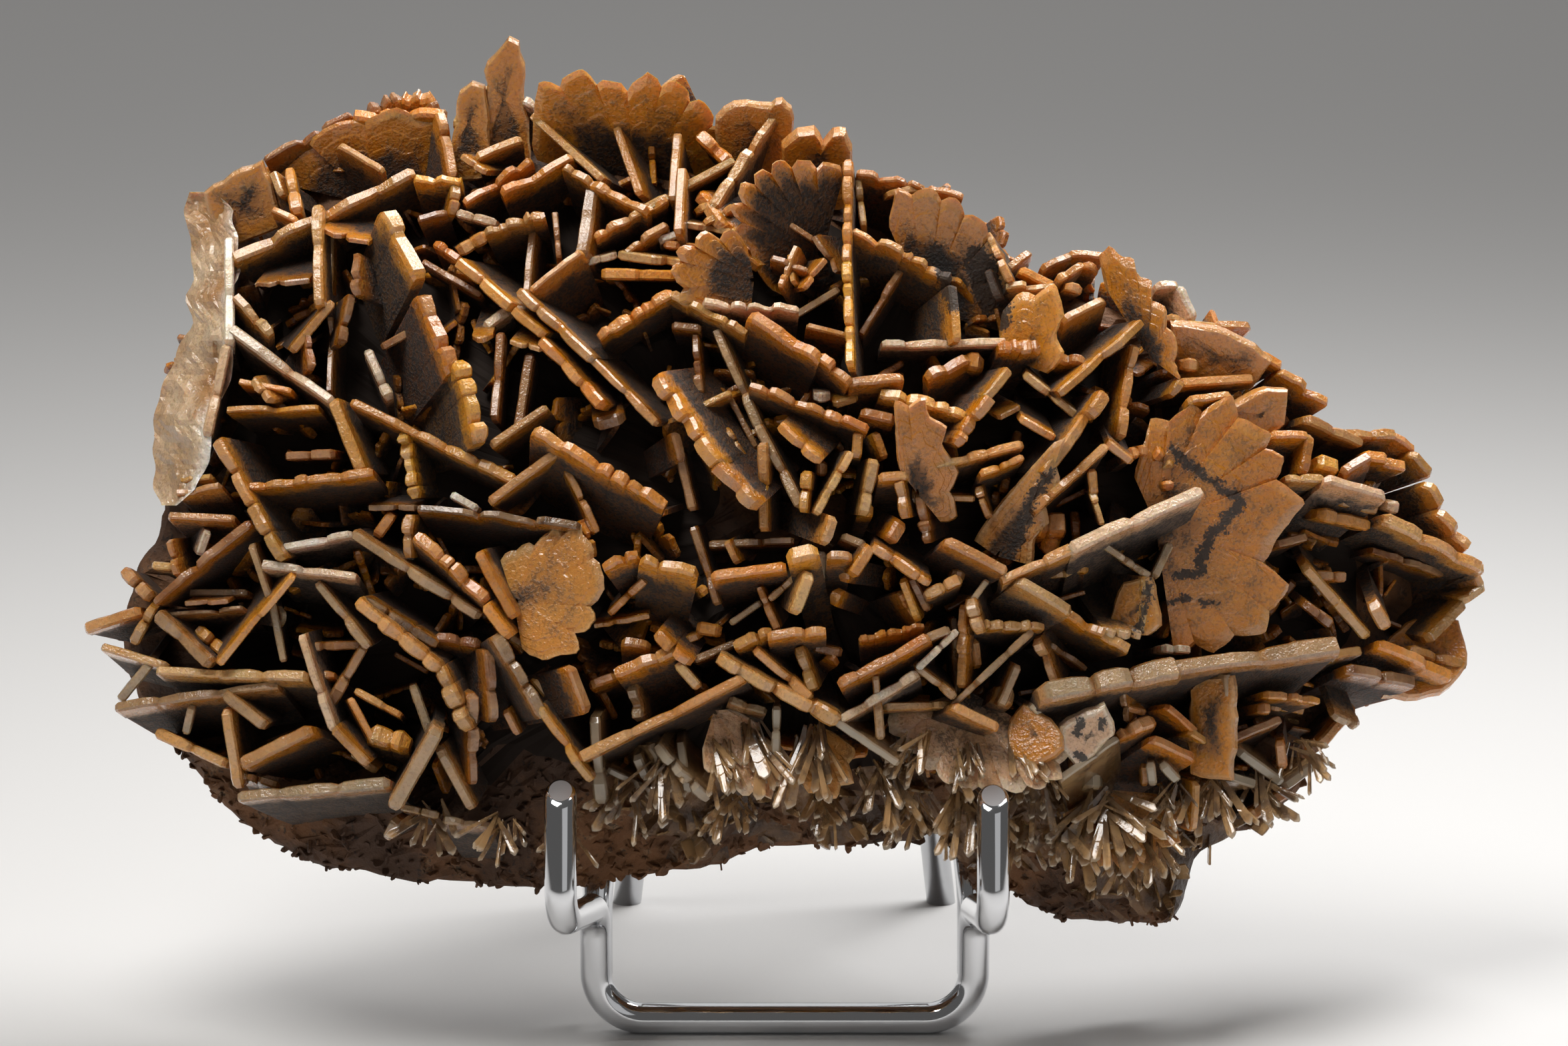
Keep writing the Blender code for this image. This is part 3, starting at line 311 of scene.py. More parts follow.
    (24.4, 37.7, 22.4, 34.9, 1.0, 0, -1, 1, "g"),
    (22.2, 35.2, 23.4, 31.0, 2.2, 14, -2, 2, "p"),
    (21.2, 34.6, 21.0, 24.6, 1.6, 24, 0, 3, "o"),
    (23.6, 32.4, 31.4, 32.3, 1.4, -16, -1, 5, "t"),
    (29.8, 31.6, 20.2, 22.6, 1.2, 0, -1, 3, "g"),
    (38.4, 31.2, 43.2, 30.9, 1.7, 20, -2, 3, "p"),
    (43.4, 31.0, 44.0, 38.0, 1.7, 30, -2, 2, "p"),
    (44.0, 38.0, 38.4, 41.8, 1.1, 0, -1, 3, "g"),
    (44.4, 38.0, 46.4, 42.2, 1.3, 0, 0, 1, "g"),
    (31.0, 24.4, 48.0, 27.6, 3.6, -22, -3, 3, "g"),
    (47.0, 27.6, 67.0, 30.0, 3.0, -22, -3, 2, "g"),
    (24.3, 79.4, 27.0, 73.6, 1.2, 20, 1, 3, "p"),
    (26.8, 73.2, 32.6, 72.8, 1.3, -26, 2, 2, "p"),
    (26.8, 75.0, 29.6, 77.3, 1.4, -14, 5, 1, "t"),
    (28.4, 75.0, 32.7, 72.9, 1.4, -20, 3, 1, "o"),
    (31.0, 75.2, 34.6, 76.9, 1.3, -20, 6, 1, "t"),
    (34.2, 76.9, 38.6, 76.8, 1.3, -20, 6, 1, "t"),
    (33.4, 69.0, 38.5, 71.6, 1.4, -26, 2, 1, "t"),
    (32.4, 64.6, 36.6, 64.0, 2.0, -26, 2, 2, "o"),
    (26.0, 66.0, 31.0, 66.0, 2.2, -24, -1, 4, "o"),
    # right
    (44.8, 73.2, 47.6, 73.2, 1.5, -20, 5, 1, "w"),
    (47.4, 73.2, 49.6, 69.0, 1.6, 16, 5, 1, "w"),
    (46.0, 69.2, 52.0, 68.0, 1.3, -20, 4, 2, "p"),
    (52.0, 68.4, 56.2, 68.3, 1.5, -20, 4, 1, "p"),
    (52.4, 67.6, 60.0, 63.4, 1.6, -30, 3, 2, "y"),
    (59.6, 62.9, 65.6, 59.1, 1.6, -34, 3, 2, "o"),
    (47.6, 61.4, 56.6, 62.0, 1.5, -16, 1, 1, "t"),
    (48.6, 59.4, 53.8, 60.1, 1.3, -24, 0, 1, "o"),
    (58.6, 55.3, 63.2, 55.2, 1.4, -30, 0, 1, "o"),
    (63.2, 55.2, 62.6, 50.4, 1.7, -26, 0, 1, "o"),
    (62.6, 57.0, 69.8, 54.2, 1.6, -16, 3, 2, "p"),
    (66.4, 55.6, 73.6, 55.2, 1.6, -24, 4, 2, "t"),
    (72.8, 55.4, 76.0, 53.4, 1.5, -24, 5, 1, "t"),
    (64.4, 52.2, 66.9, 51.4, 2.4, -26, 0, 1, "y"),
    (60.4, 50.0, 65.0, 50.1, 1.3, -20, -1, 2, "p"),
    (65.2, 50.0, 72.5, 47.9, 1.6, -34, -2, 1, "w"),
    (67.0, 50.8, 70.4, 53.0, 1.6, -24, 1, 1, "t"),
    (70.2, 52.9, 75.0, 51.4, 1.8, -24, 2, 2, "o"),
    (75.4, 53.0, 78.0, 50.4, 1.5, 14, 4, 1, "t"),
    (72.6, 45.2, 84.4, 39.2, 2.3, -22, -1, 3, "p"),
    (77.4, 49.4, 79.4, 46.6, 1.8, 14, 3, 1, "t"),
    (79.0, 46.0, 82.4, 41.4, 1.8, 14, 2, 2, "p"),
    (82.4, 40.2, 84.2, 36.4, 1.8, -12, 3, 1, "t"),
    (62.4, 39.2, 70.2, 30.4, 1.9, 12, 2, 1, "t"),
    (59.0, 42.0, 63.0, 43.0, 1.3, -10, 2, 1, "b"),
    (70.6, 34.6, 72.4, 31.4, 2.2, 10, -1, 1, "p"),
    (72.0, 30.2, 80.6, 26.2, 2.0, -24, 0, 2, "o"),
    (75.6, 29.4, 82.2, 27.4, 1.7, -20, 3, 2, "t"),
    (77.4, 30.4, 82.0, 35.0, 1.9, -14, 3, 1, "t"),
    (81.4, 35.0, 84.4, 37.0, 1.6, -14, 3, 1, "t"),
    (71.0, 41.3, 79.4, 38.4, 1.3, -16, 5, 2, "b"),
    (66.0, 28.8, 69.6, 29.4, 1.5, -16, 2, 1, "t"),
    # lower right
    (53.6, 26.2, 53.4, 13.6, 1.3, -30, -2, 2, "g"),
    (53.4, 14.2, 57.0, 13.2, 1.6, -16, 0, 1, "p"),
    (44.2, 18.8, 49.6, 16.4, 1.6, -34, -1, 1, "o"),
    (46.0, 22.6, 49.8, 19.4, 1.2, -24, 0, 1, "o"),
    (48.8, 19.6, 52.6, 17.2, 1.2, -24, 0, 1, "y"),
    (40.2, 19.2, 44.6, 21.2, 2.0, -20, -1, 2, "t"),
    (33.0, 13.8, 40.0, 18.9, 1.3, -20, -2, 2, "w"),
    (43.9, 15.6, 44.2, 12.8, 1.5, 10, -1, 1, "w"),
    (45.4, 15.4, 47.4, 13.2, 1.6, 14, -1, 1, "w"),
    (20.4, 22.6, 26.0, 20.0, 1.5, -20, -2, 1, "p"),
    (26.0, 22.4, 28.2, 27.4, 1.4, 14, 0, 1, "g"),
    (30.2, 30.4, 32.8, 24.2, 1.6, 20, 0, 2, "p"),
    (53.6, 18.6, 59.8, 21.2, 1.4, -14, 1, 1, "b"),
    (57.8, 24.0, 64.6, 23.3, 1.4, -16, 1, 3, "o"),
    (54.6, 17.0, 60.0, 13.0, 1.5, 12, 1, 1, "g"),
    (60.0, 12.8, 64.2, 15.8, 1.6, -12, 2, 1, "p"),
    (59.4, 18.2, 59.8, 14.8, 1.6, 10, 1, 1, "o"),
    (49.6, 13.4, 49.3, 7.4, 1.4, -34, 0, 1, "o"),
    (64.6, 18.0, 68.6, 22.6, 1.8, -14, 6, 1, "p"),
)

# Crystals seen on their face. Columns: thickness, depth past the face, how much deeper the face gets
# per millimetre to the right and up, tone, and the outline on the face.
PLATES = (
    (2.0, 3.0, 0.0, -0.3, "t", (
        (-40.2, 85.6), (-39.3, 92.6), (-38.9, 96.2), (-37.4, 97.3), (-35.9, 96.8), (-35.2, 86.0))),
    (2.0, 4.0, 0.0, -0.3, "t", (
        (-69.6, 84.0), (-62.6, 87.8), (-60.0, 80.0), (-67.0, 77.6))),
    (2.0, 2.0, 0.0, -0.35, "t", (
        (-36.0, 82.0), (-35.6, 97.0), (-36.0, 98.6), (-34.8, 100.4), (-33.0, 102.6), (-31.8, 102.0),
        (-31.2, 96.5), (-30.4, 82.0))),
    (1.8, 4.0, 0.0, -0.6, "t", (
        (-8.2, 92.8), (-6.0, 94.6), (-1.5, 94.4), (-0.2, 95.0), (0.9, 94.0), (1.2, 88.0),
        (-3.0, 84.0), (-7.4, 86.0))),
    (2.4, 2.0, 0.0, -0.7, "o", (
        (-0.3, 89.4), (1.6, 91.0), (3.6, 91.3), (4.7, 89.5), (6.0, 91.0), (7.4, 91.0),
        (8.2, 89.0), (7.8, 82.0), (0.0, 82.0))),
    (1.8, -1.0, -0.4, 0.0, "t", (
        (38.6, 31.4), (43.4, 31.0), (44.9, 32.2), (44.3, 36.0), (43.8, 38.0), (40.6, 37.4))),
    (2.2, -2.5, 0.1, -0.3, "w", (
        (33.2, 19.9), (38.6, 22.6), (39.8, 19.4), (39.2, 18.6), (35.0, 15.2), (33.0, 17.6))),
    (1.8, -0.4, -0.3, 0.3, "o", (
        (27.0, 21.0), (28.6, 23.0), (30.0, 22.6), (33.3, 19.2), (33.3, 17.6), (30.0, 15.6),
        (27.0, 16.6))),
    (1.8, 0.0, -0.5, 0.0, "t", (
        (48.6, 14.4), (48.6, 24.6), (50.6, 26.0), (53.6, 26.2), (53.5, 13.6))),
    (2.0, 1.0, 0.4, -0.3, "o", (
        (53.0, 58.0), (57.0, 60.2), (60.6, 60.4), (60.2, 56.2), (58.0, 54.4), (54.0, 55.0))),
    (2.0, 3.0, 0.0, -0.5, "t", (
        (46.4, 68.2), (52.0, 67.6), (58.6, 63.8), (56.0, 60.4), (47.6, 61.0))),
    (2.0, 6.0, 0.2, 0.5, "o", (
        (79.0, 24.4), (82.0, 27.6), (81.0, 33.0), (77.0, 34.0), (72.0, 30.0), (72.0, 24.0))),
)

# Crystals whose lobes fan out from a root. Columns: thickness, depth past the face, how much deeper the
# face gets per millimetre to the right and up, how far each lobe laps over the next, tone, share of the
# reach that gets painted shade, how pointed its lobes are, root and rim.
FANS = (
    (2.0, 1.0, 0.2, -0.05, 0.8, "o", 0.32, 0.6, (44.5, 44.5), (
        (42.0, 50.0), (44.0, 57.0), (46.0, 55.8), (48.8, 58.8), (49.4, 56.6), (53.6, 60.0),
        (53.2, 56.8), (58.4, 55.2), (56.6, 53.2), (60.0, 52.3), (57.2, 49.8), (62.5, 47.0),
        (58.8, 42.4), (55.6, 39.8), (60.7, 37.0), (57.4, 33.8), (57.6, 31.2), (53.6, 31.8),
        (51.4, 29.0), (49.4, 31.0), (46.8, 28.6))),
    (2.2, -1.0, 0.0, -0.8, 1.0, "y", 0.66, 0.1, (-18.0, 84.0), (
        (-29.6, 88.0), (-30.0, 94.0), (-29.0, 97.2), (-27.0, 95.8), (-24.4, 99.0), (-22.4, 96.2),
        (-20.6, 97.4), (-19.0, 95.0), (-16.4, 98.4), (-14.8, 95.8), (-12.6, 97.4), (-11.6, 94.2),
        (-9.2, 94.6), (-9.0, 91.6), (-6.8, 91.0), (-7.4, 86.0))),
    (1.9, -0.6, 0.5, -0.4, 0.9, "o", 0.93, 0.0, (4.6, 76.6), (
        (6.6, 71.8), (2.0, 71.2), (-2.0, 72.8), (-3.4, 75.6), (-3.6, 77.4), (-5.6, 79.2), (-4.4, 80.4),
        (-6.4, 82.2), (-4.4, 82.4), (-5.2, 85.0), (-3.0, 84.4), (-3.0, 86.8), (-1.3, 85.6), (-0.6, 88.0),
        (0.9, 86.4), (2.6, 88.0), (3.8, 86.4), (5.6, 87.6), (7.2, 86.4))),
    (2.1, -2.0, 0.5, -0.2, 0.5, "o", 0.7, 0.2, (-3.6, 73.6), (
        (-4.0, 69.8), (-8.0, 70.0), (-12.2, 71.0), (-11.4, 72.6), (-13.4, 74.6), (-12.0, 75.8),
        (-12.6, 77.6), (-10.4, 77.0), (-9.6, 79.6), (-7.6, 77.6), (-6.0, 79.8), (-4.4, 77.6))),
    (2.0, 1.6, 0.0, -0.4, 0.5, "t", 0.66, 0.5, (17.0, 70.0), (
        (12.6, 80.0), (13.4, 84.6), (15.2, 83.2), (17.6, 84.8), (18.6, 82.4), (20.8, 83.4),
        (21.0, 81.0), (24.2, 80.6), (23.4, 77.8), (26.6, 76.6), (25.4, 74.2), (28.0, 72.0),
        (26.2, 70.0), (27.6, 67.0))),
    (2.4, 0.0, -0.4, -0.2, 0.25, "y", 0.4, 0.3, (28.6, 63.6), (
        (26.0, 66.0), (26.2, 69.8), (28.2, 71.9), (30.0, 71.2), (32.4, 73.0), (33.6, 69.4), (32.4, 66.8),
        (33.4, 64.6), (31.6, 62.4))),
    (2.6, 0.0, -0.55, -0.25, 0.25, "o", 0.55, 0.5, (43.6, 64.5), (
        (41.6, 67.8), (38.6, 72.6), (37.8, 76.4), (39.2, 77.8), (40.5, 76.3), (41.9, 76.4),
        (42.4, 74.0), (44.1, 73.4), (44.0, 71.0), (45.8, 70.2), (45.4, 67.8), (47.1, 66.2),
        (46.4, 63.8), (47.5, 61.6))),
    (2.1, 0.0, -0.35, 0.1, 0.5, "p", 0.3, 0.2, (-32.4, 35.0), (
        (-34.0, 40.0), (-31.6, 41.6), (-30.2, 41.0), (-27.6, 44.0), (-26.6, 42.6), (-24.6, 44.3),
        (-22.6, 40.0), (-21.5, 37.0), (-24.0, 34.3), (-22.8, 32.4), (-26.0, 31.6), (-24.8, 29.2),
        (-28.6, 28.2), (-31.4, 29.4))),
    (2.4, -2.0, 0.35, -0.3, 0.25, "o", 0.4, 0.4, (16.0, 48.0), (
        (13.8, 51.0), (13.4, 55.0), (13.2, 58.9), (14.9, 58.0), (16.9, 59.5), (17.2, 57.2), (19.6, 56.0),
        (18.8, 53.6), (20.8, 50.6), (19.2, 48.6), (20.8, 45.2), (18.8, 44.6))),
    (2.0, 0.0, -0.3, -0.2, 0.25, "p", 0.5, 0.4, (25.5, 40.5), (
        (22.8, 42.4), (26.0, 46.8), (29.4, 50.8), (32.2, 54.0), (33.9, 54.9), (32.6, 51.4), (33.0, 49.2),
        (31.0, 47.0), (31.6, 44.4), (29.8, 42.4), (29.8, 39.4))),
    (1.8, 5.0, 0.0, -0.45, 0.9, "o", 0.7, 0.3, (-49.0, 82.5), (
        (-62.0, 85.6), (-60.0, 88.6), (-56.8, 89.4), (-54.0, 92.4), (-50.2, 92.0), (-46.6, 94.0),
        (-43.2, 92.8), (-40.6, 93.4), (-40.0, 87.6))),
)

# The almost colourless sheaves at the foot. Columns: root on the face, length, first and last direction in
# degrees, number of crystals, depth past the face and tone.
SPRAYS = (
    (16.0, 18.6, 5.5, -150, -90, 20, 1.5, "w"), (22.0, 17.2, 5.5, -120, -60, 22, 1.0, "w"),
    (28.0, 18.0, 5.5, -95, -25, 20, 1.2, "p"), (-7.8, 17.5, 6.5, -105, -40, 22, 1.0, "w"),
    (-3.5, 20.0, 9.0, -95, -35, 15, 2.0, "p"), (3.0, 20.0, 9.5, -120, -60, 17, 1.8, "w"),
    (38.0, 12.0, 9.5, -150, -20, 27, 2.5, "p"), (44.0, 8.0, 8.0, -160, -30, 17, 1.5, "w"),
    (34.0, 9.0, 8.0, -140, -50, 15, 2.5, "g"), (-14.0, 17.0, 8.0, -140, -60, 17, 2.0, "p"),
    (-19.0, 13.0, 7.0, -150, -60, 14, 2.5, "g"), (22.0, 12.0, 8.5, -130, -40, 20, 3.0, "p"),
    (12.0, 15.0, 8.0, -120, -50, 17, 2.2, "w"), (51.0, 14.0, 8.0, -140, -40, 17, 2.0, "p"),
    (57.0, 14.0, 7.0, -120, -20, 14, 2.0, "p"), (30.0, 15.5, 8.0, -120, -50, 14, 2.5, "w"),
    (-6.0, 12.0, 6.0, -140, -50, 14, 3.5, "g"), (5.0, 12.0, 6.0, -130, -50, 14, 3.5, "p"),
    (15.0, 11.0, 6.0, -140, -50, 14, 4.0, "g"), (41.0, 4.5, 4.6, -150, -30, 17, 2.5, "p"),
    (62.0, 18.0, 6.0, -110, -10, 12, 2.5, "g"), (-26.0, 8.0, 6.0, -150, -50, 12, 3.0, "g"),
    (-33.0, 8.5, 6.0, -150, -50, 12, 3.0, "g"), (-42.0, 10.5, 6.0, -150, -50, 12, 3.0, "p"),
    (28.0, 9.0, 6.5, -140, -50, 14, 4.0, "g"), (46.0, 12.5, 7.0, -140, -50, 14, 1.5, "w"),
)

# Pale shells of fine crystals at the foot, with the columns of FANS.
PALE_FANS = (
    (1.3, 0.0, 0.05, 0.45, 0.6, "w", 0.34, 0.7, (22.0, 24.5), (
        (12.6, 21.6), (12.6, 19.4), (14.4, 19.2), (14.2, 17.2), (16.2, 17.4), (16.6, 15.0),
        (18.4, 15.6), (19.2, 13.2), (20.6, 14.2), (22.0, 12.2), (23.2, 13.6), (25.0, 11.8),
        (26.0, 13.4), (28.0, 12.0), (28.8, 13.6), (31.0, 12.4), (31.2, 14.2), (33.4, 13.8),
        (32.4, 15.8), (34.2, 16.8), (31.8, 18.6))),
    (1.3, 0.0, 0.1, 0.4, 0.6, "w", 0.1, 0.7, (-8.4, 22.0), (
        (-9.8, 17.4), (-9.6, 14.8), (-8.2, 15.2), (-7.4, 12.8), (-6.2, 13.8), (-4.8, 11.6), (-3.8, 13.2),
        (-1.6, 11.4), (-1.6, 13.4), (0.2, 13.2), (-1.0, 15.4), (0.2, 16.8), (-2.8, 18.2), (-3.0, 20.4),
        (-6.0, 22.2))),
    (1.2, 0.6, 0.2, 0.4, 0.5, "p", 0.1, 0.7, (3.4, 20.5), (
        (0.2, 16.0), (0.8, 13.6), (2.2, 14.2), (3.0, 12.0), (4.4, 13.2), (6.2, 11.2), (6.4, 13.6),
        (8.4, 13.4), (7.2, 15.8), (8.6, 17.4), (6.0, 19.4))),
    (1.5, 1.0, 0.1, 0.5, 0.5, "p", 0.1, 0.7, (39.0, 12.5), (
        (33.4, 9.6), (34.8, 8.6), (35.0, 6.0), (36.8, 6.6), (37.8, 3.4), (39.4, 5.0), (41.2, 2.2),
        (42.2, 4.8), (45.0, 3.4), (44.6, 6.2), (47.6, 6.2), (45.8, 8.6), (48.4, 10.6), (45.0, 12.0))),
)

# Small crystals. Columns: x and z of both ends, thickness and tone.
SMALL = (
    # upper left
    (-57.0, 67.5, -56.6, 63.0, 1.0, "b"),
    (-63.5, 72.8, -57.0, 73.3, 0.7, "b"),
    (-56.0, 79.5, -50.0, 77.8, 0.8, "o"),
    (-51.8, 77.0, -51.6, 72.0, 1.2, "b"),
    (-51.6, 72.0, -53.0, 66.0, 1.2, "b"),
    (-42.0, 78.4, -38.8, 76.2, 1.1, "o"),
    (-39.0, 77.0, -35.5, 79.0, 1.7, "p"),
    (-39.4, 81.8, -34.7, 80.6, 1.0, "w"),
    (-39.2, 86.0, -39.6, 81.8, 1.2, "o"),
    (-61.5, 86.8, -60.5, 84.0, 1.0, "p"),
    (-59.5, 87.5, -58.5, 82.0, 1.5, "o"),
    (-61.5, 82.3, -58.5, 81.0, 0.8, "o"),
    (-66.0, 72.0, -61.5, 67.5, 1.3, "p"),
    (-64.0, 61.8, -61.5, 59.0, 1.0, "p"),
    (-60.0, 52.5, -54.0, 52.8, 1.2, "b"),
    (-50.0, 65.5, -47.3, 59.5, 1.2, "w"),
    # left
    (-72.5, 50.0, -68.5, 50.0, 0.7, "t"),
    (-73.0, 48.2, -67.5, 49.0, 0.7, "p"),
    (-69.0, 43.5, -70.0, 40.5, 1.0, "w"),
    (-73.8, 42.5, -72.8, 38.0, 1.0, "t"),
    (-76.0, 39.5, -73.5, 39.3, 1.0, "p"),
    (-79.5, 39.0, -76.0, 35.5, 1.5, "p"),
    (-78.2, 29.8, -75.8, 34.2, 1.3, "t"),
    (-70.5, 32.0, -67.0, 29.0, 1.4, "o"),
    (-74.0, 33.5, -65.0, 34.4, 0.6, "g"),
    (-72.0, 34.8, -66.8, 35.0, 0.6, "b"),
    (-60.0, 34.5, -59.8, 32.0, 0.8, "g"),
    (-56.0, 26.3, -54.2, 26.5, 1.0, "o"),
    (-58.0, 29.6, -51.0, 29.8, 1.0, "b"),
    (-50.3, 29.6, -54.5, 22.5, 1.3, "b"),
    (-71.0, 22.5, -71.8, 19.0, 1.0, "g"),
    (-65.0, 14.2, -61.0, 13.4, 1.1, "p"),
    # top
    (-39.0, 88.5, -36.0, 86.5, 1.0, "t"),
    (-31.5, 95.5, -30.0, 95.0, 1.2, "w"),
    (-27.5, 82.0, -27.0, 76.5, 0.8, "b"),
    (-44.0, 81.0, -40.5, 82.0, 0.9, "b"),
    (-19.0, 77.3, -14.0, 80.5, 0.9, "t"),
    (-24.0, 75.6, -20.0, 76.6, 1.0, "w"),
    (-20.0, 76.6, -11.0, 75.4, 1.2, "p"),
    (-22.0, 74.4, -13.0, 74.2, 1.6, "o"),
    (-36.0, 68.0, -33.0, 70.3, 1.4, "w"),
    (-37.5, 66.3, -35.0, 66.5, 0.9, "t"),
    (-33.0, 66.0, -29.0, 65.2, 0.8, "t"),
    (-22.8, 56.0, -19.0, 57.0, 1.8, "b"),
    (-10.5, 91.5, -6.7, 88.0, 1.6, "o"),
    (-10.5, 82.0, -8.5, 83.0, 1.0, "o"),
    (-12.0, 80.3, -6.0, 79.2, 1.0, "p"),
    (-15.0, 78.5, -12.0, 79.5, 1.0, "w"),
    (-14.5, 78.0, -10.0, 77.5, 1.0, "o"),
    (-9.5, 80.7, -5.8, 82.5, 1.1, "t"),
    (8.8, 86.0, 9.5, 80.5, 0.9, "p"),
    (12.5, 84.0, 17.0, 84.8, 0.9, "p"),
    # left of the middle
    (-26.0, 51.0, -22.3, 43.5, 0.9, "o"),
    (-40.0, 48.0, -36.8, 46.2, 1.0, "w"),
    (-50.0, 46.3, -44.0, 46.3, 0.8, "k"),
    (-49.0, 42.7, -47.0, 45.5, 1.4, "o"),
    (-45.2, 45.5, -45.3, 40.3, 1.5, "t"),
    (-24.0, 45.0, -22.5, 40.5, 1.0, "o"),
    (-21.0, 33.5, -16.5, 37.8, 1.0, "o"),
    (-22.8, 32.0, -16.2, 33.2, 0.8, "o"),
    (-19.5, 30.5, -16.0, 30.0, 1.3, "o"),
    (-23.5, 25.0, -20.3, 26.3, 1.2, "o"),
    (-30.0, 26.0, -27.5, 23.0, 1.2, "o"),
    (-33.0, 31.0, -30.3, 29.3, 1.0, "t"),
    (-42.0, 31.0, -36.5, 30.3, 1.2, "b"),
    (-51.5, 24.5, -46.0, 21.5, 0.9, "t"),
    (-33.5, 22.0, -32.0, 19.0, 1.0, "t"),
    (-18.5, 25.0, -17.5, 20.5, 1.8, "g"),
    (-46.5, 9.0, -48.0, 6.5, 1.2, "g"),
    (-50.0, 19.6, -45.0, 18.4, 2.4, "o"),
    (-52.0, 17.0, -49.0, 14.5, 1.0, "t"),
    (-21.2, 14.8, -14.0, 11.2, 1.0, "p"),
    (-17.8, 16.5, -16.5, 13.5, 1.3, "g"),
    (-15.5, 18.0, -14.0, 14.0, 1.2, "g"),
    (-46.0, 10.5, -41.5, 9.5, 1.0, "g"),
    (-41.0, 9.0, -35.0, 8.3, 1.0, "g"),
    # middle
    (-13.5, 68.3, -10.0, 68.0, 1.0, "b"),
    (-7.3, 55.8, -4.8, 52.0, 1.5, "o"),
    (-13.0, 55.5, -12.0, 52.0, 1.2, "b"),
    (-5.8, 51.0, -3.5, 50.5, 1.2, "p"),
    (4.0, 51.0, 5.2, 51.0, 1.8, "o"),
    (11.0, 55.5, 12.3, 52.3, 1.0, "o"),
    (14.5, 51.5, 16.5, 49.0, 1.2, "o"),
    (15.0, 48.0, 17.5, 46.0, 1.2, "o"),
    (9.0, 46.4, 10.8, 46.2, 1.8, "o"),
    (3.6, 59.5, 5.6, 59.5, 1.3, "w"),
    (6.0, 58.5, 9.0, 59.3, 1.0, "t"),
    (4.6, 41.0, 4.5, 37.5, 1.1, "w"),
    (7.5, 40.3, 6.8, 37.5, 1.5, "o"),
    (6.5, 36.7, 5.5, 34.8, 1.3, "o"),
    (-10.5, 32.0, -7.5, 31.5, 1.5, "o"),
    (-12.0, 30.3, -9.8, 31.0, 0.9, "o"),
    (5.3, 28.8, 6.8, 27.8, 0.9, "o"),
    (12.7, 42.0, 14.5, 44.5, 1.8, "o"),
    (7.0, 43.0, 10.0, 41.8, 1.1, "g"),
    (-7.0, 42.3, -5.7, 39.5, 0.9, "o"),
    (-10.0, 37.0, -9.2, 36.0, 1.1, "o"),
    (3.4, 29.6, 7.0, 28.8, 1.2, "b"),
    (20.5, 33.0, 21.0, 24.0, 0.8, "k"),
    (12.0, 22.5, 20.0, 22.8, 1.1, "p"),
    (-6.5, 23.5, -2.0, 22.0, 1.0, "g"),
    (14.0, 36.3, 16.5, 32.5, 1.0, "t"),
    (-12.5, 18.0, -11.5, 12.0, 1.3, "g"),
    # right of the middle
    (24.3, 75.0, 25.5, 71.5, 1.0, "o"),
    (33.0, 74.0, 36.0, 75.8, 1.0, "t"),
    (36.0, 75.8, 38.0, 75.0, 1.0, "t"),
    (34.0, 73.0, 36.0, 72.5, 1.2, "p"),
    (21.8, 64.2, 24.2, 63.8, 2.3, "o"),
    (48.0, 63.6, 50.2, 63.4, 1.6, "t"),
    (25.8, 57.0, 28.5, 58.3, 0.7, "t"),
    (41.4, 52.9, 42.8, 53.2, 1.5, "o"),
    (42.7, 53.3, 43.9, 53.1, 1.4, "o"),
    (44.4, 52.7, 45.4, 52.0, 1.5, "o"),
    (45.6, 51.6, 46.3, 50.8, 1.5, "o"),
    (46.2, 49.6, 46.4, 48.4, 1.5, "o"),
    (30.3, 44.8, 34.1, 44.4, 3.2, "t"),
    (31.1, 41.5, 33.3, 41.3, 2.4, "o"),
    (20.2, 38.2, 21.8, 37.9, 1.8, "o"),
    (48.0, 62.0, 47.0, 60.0, 1.2, "t"),
    (32.0, 38.0, 36.5, 39.0, 1.0, "t"),
    (35.2, 39.4, 36.8, 39.2, 1.5, "o"),
    (23.2, 48.8, 24.5, 45.0, 1.0, "o"),
    (20.0, 47.5, 23.0, 47.3, 0.8, "t"),
    (38.5, 42.2, 40.5, 40.5, 1.0, "t"),
    (23.0, 30.5, 23.5, 27.0, 1.2, "o"),
    (25.8, 24.6, 28.0, 23.6, 2.6, "g"),
    (32.0, 30.0, 36.5, 27.0, 0.9, "b"),
    (45.5, 29.5, 49.0, 29.3, 1.0, "w"),
    (41.0, 22.3, 43.5, 21.5, 0.9, "o"),
    (40.5, 24.5, 41.0, 20.5, 0.8, "b"),
    (38.3, 21.5, 39.3, 19.3, 1.0, "w"),
    (29.8, 22.5, 33.2, 19.0, 0.9, "w"),
    (36.4, 13.8, 38.6, 13.6, 1.9, "w"),
    (43.3, 15.5, 43.3, 12.8, 1.0, "o"),
    # right
    (72.8, 46.4, 74.2, 46.2, 1.6, "w"),
    (64.4, 38.4, 67.8, 38.0, 1.4, "b"),
    (81.4, 39.9, 82.6, 39.6, 1.3, "t"),
    (83.3, 39.3, 84.3, 39.0, 1.2, "t"),
    (57.2, 22.4, 58.8, 22.2, 1.5, "o"),
    (66.0, 21.0, 69.0, 19.6, 1.4, "g"),
    (68.0, 27.2, 76.0, 25.4, 1.6, "b"),
    (64.4, 45.6, 70.8, 44.2, 1.6, "o"),
    (62.6, 34.6, 66.0, 32.0, 1.4, "b"),
    (66.8, 47.0, 71.6, 46.0, 1.3, "t"),
    (60.6, 12.4, 56.0, 9.4, 1.4, "t"),
    # in the hollow of the round fan
    (-0.6, 73.0, 1.6, 77.8, 0.8, "t"),
    (1.2, 73.2, 0.4, 76.8, 0.7, "o"),
    (2.6, 72.6, 5.2, 76.2, 0.8, "t"),
    (-1.6, 76.4, 2.8, 75.0, 0.7, "b"),
    (3.6, 79.0, 6.0, 74.6, 0.8, "b"),
    (0.6, 80.4, 3.4, 78.6, 0.7, "b"),
)
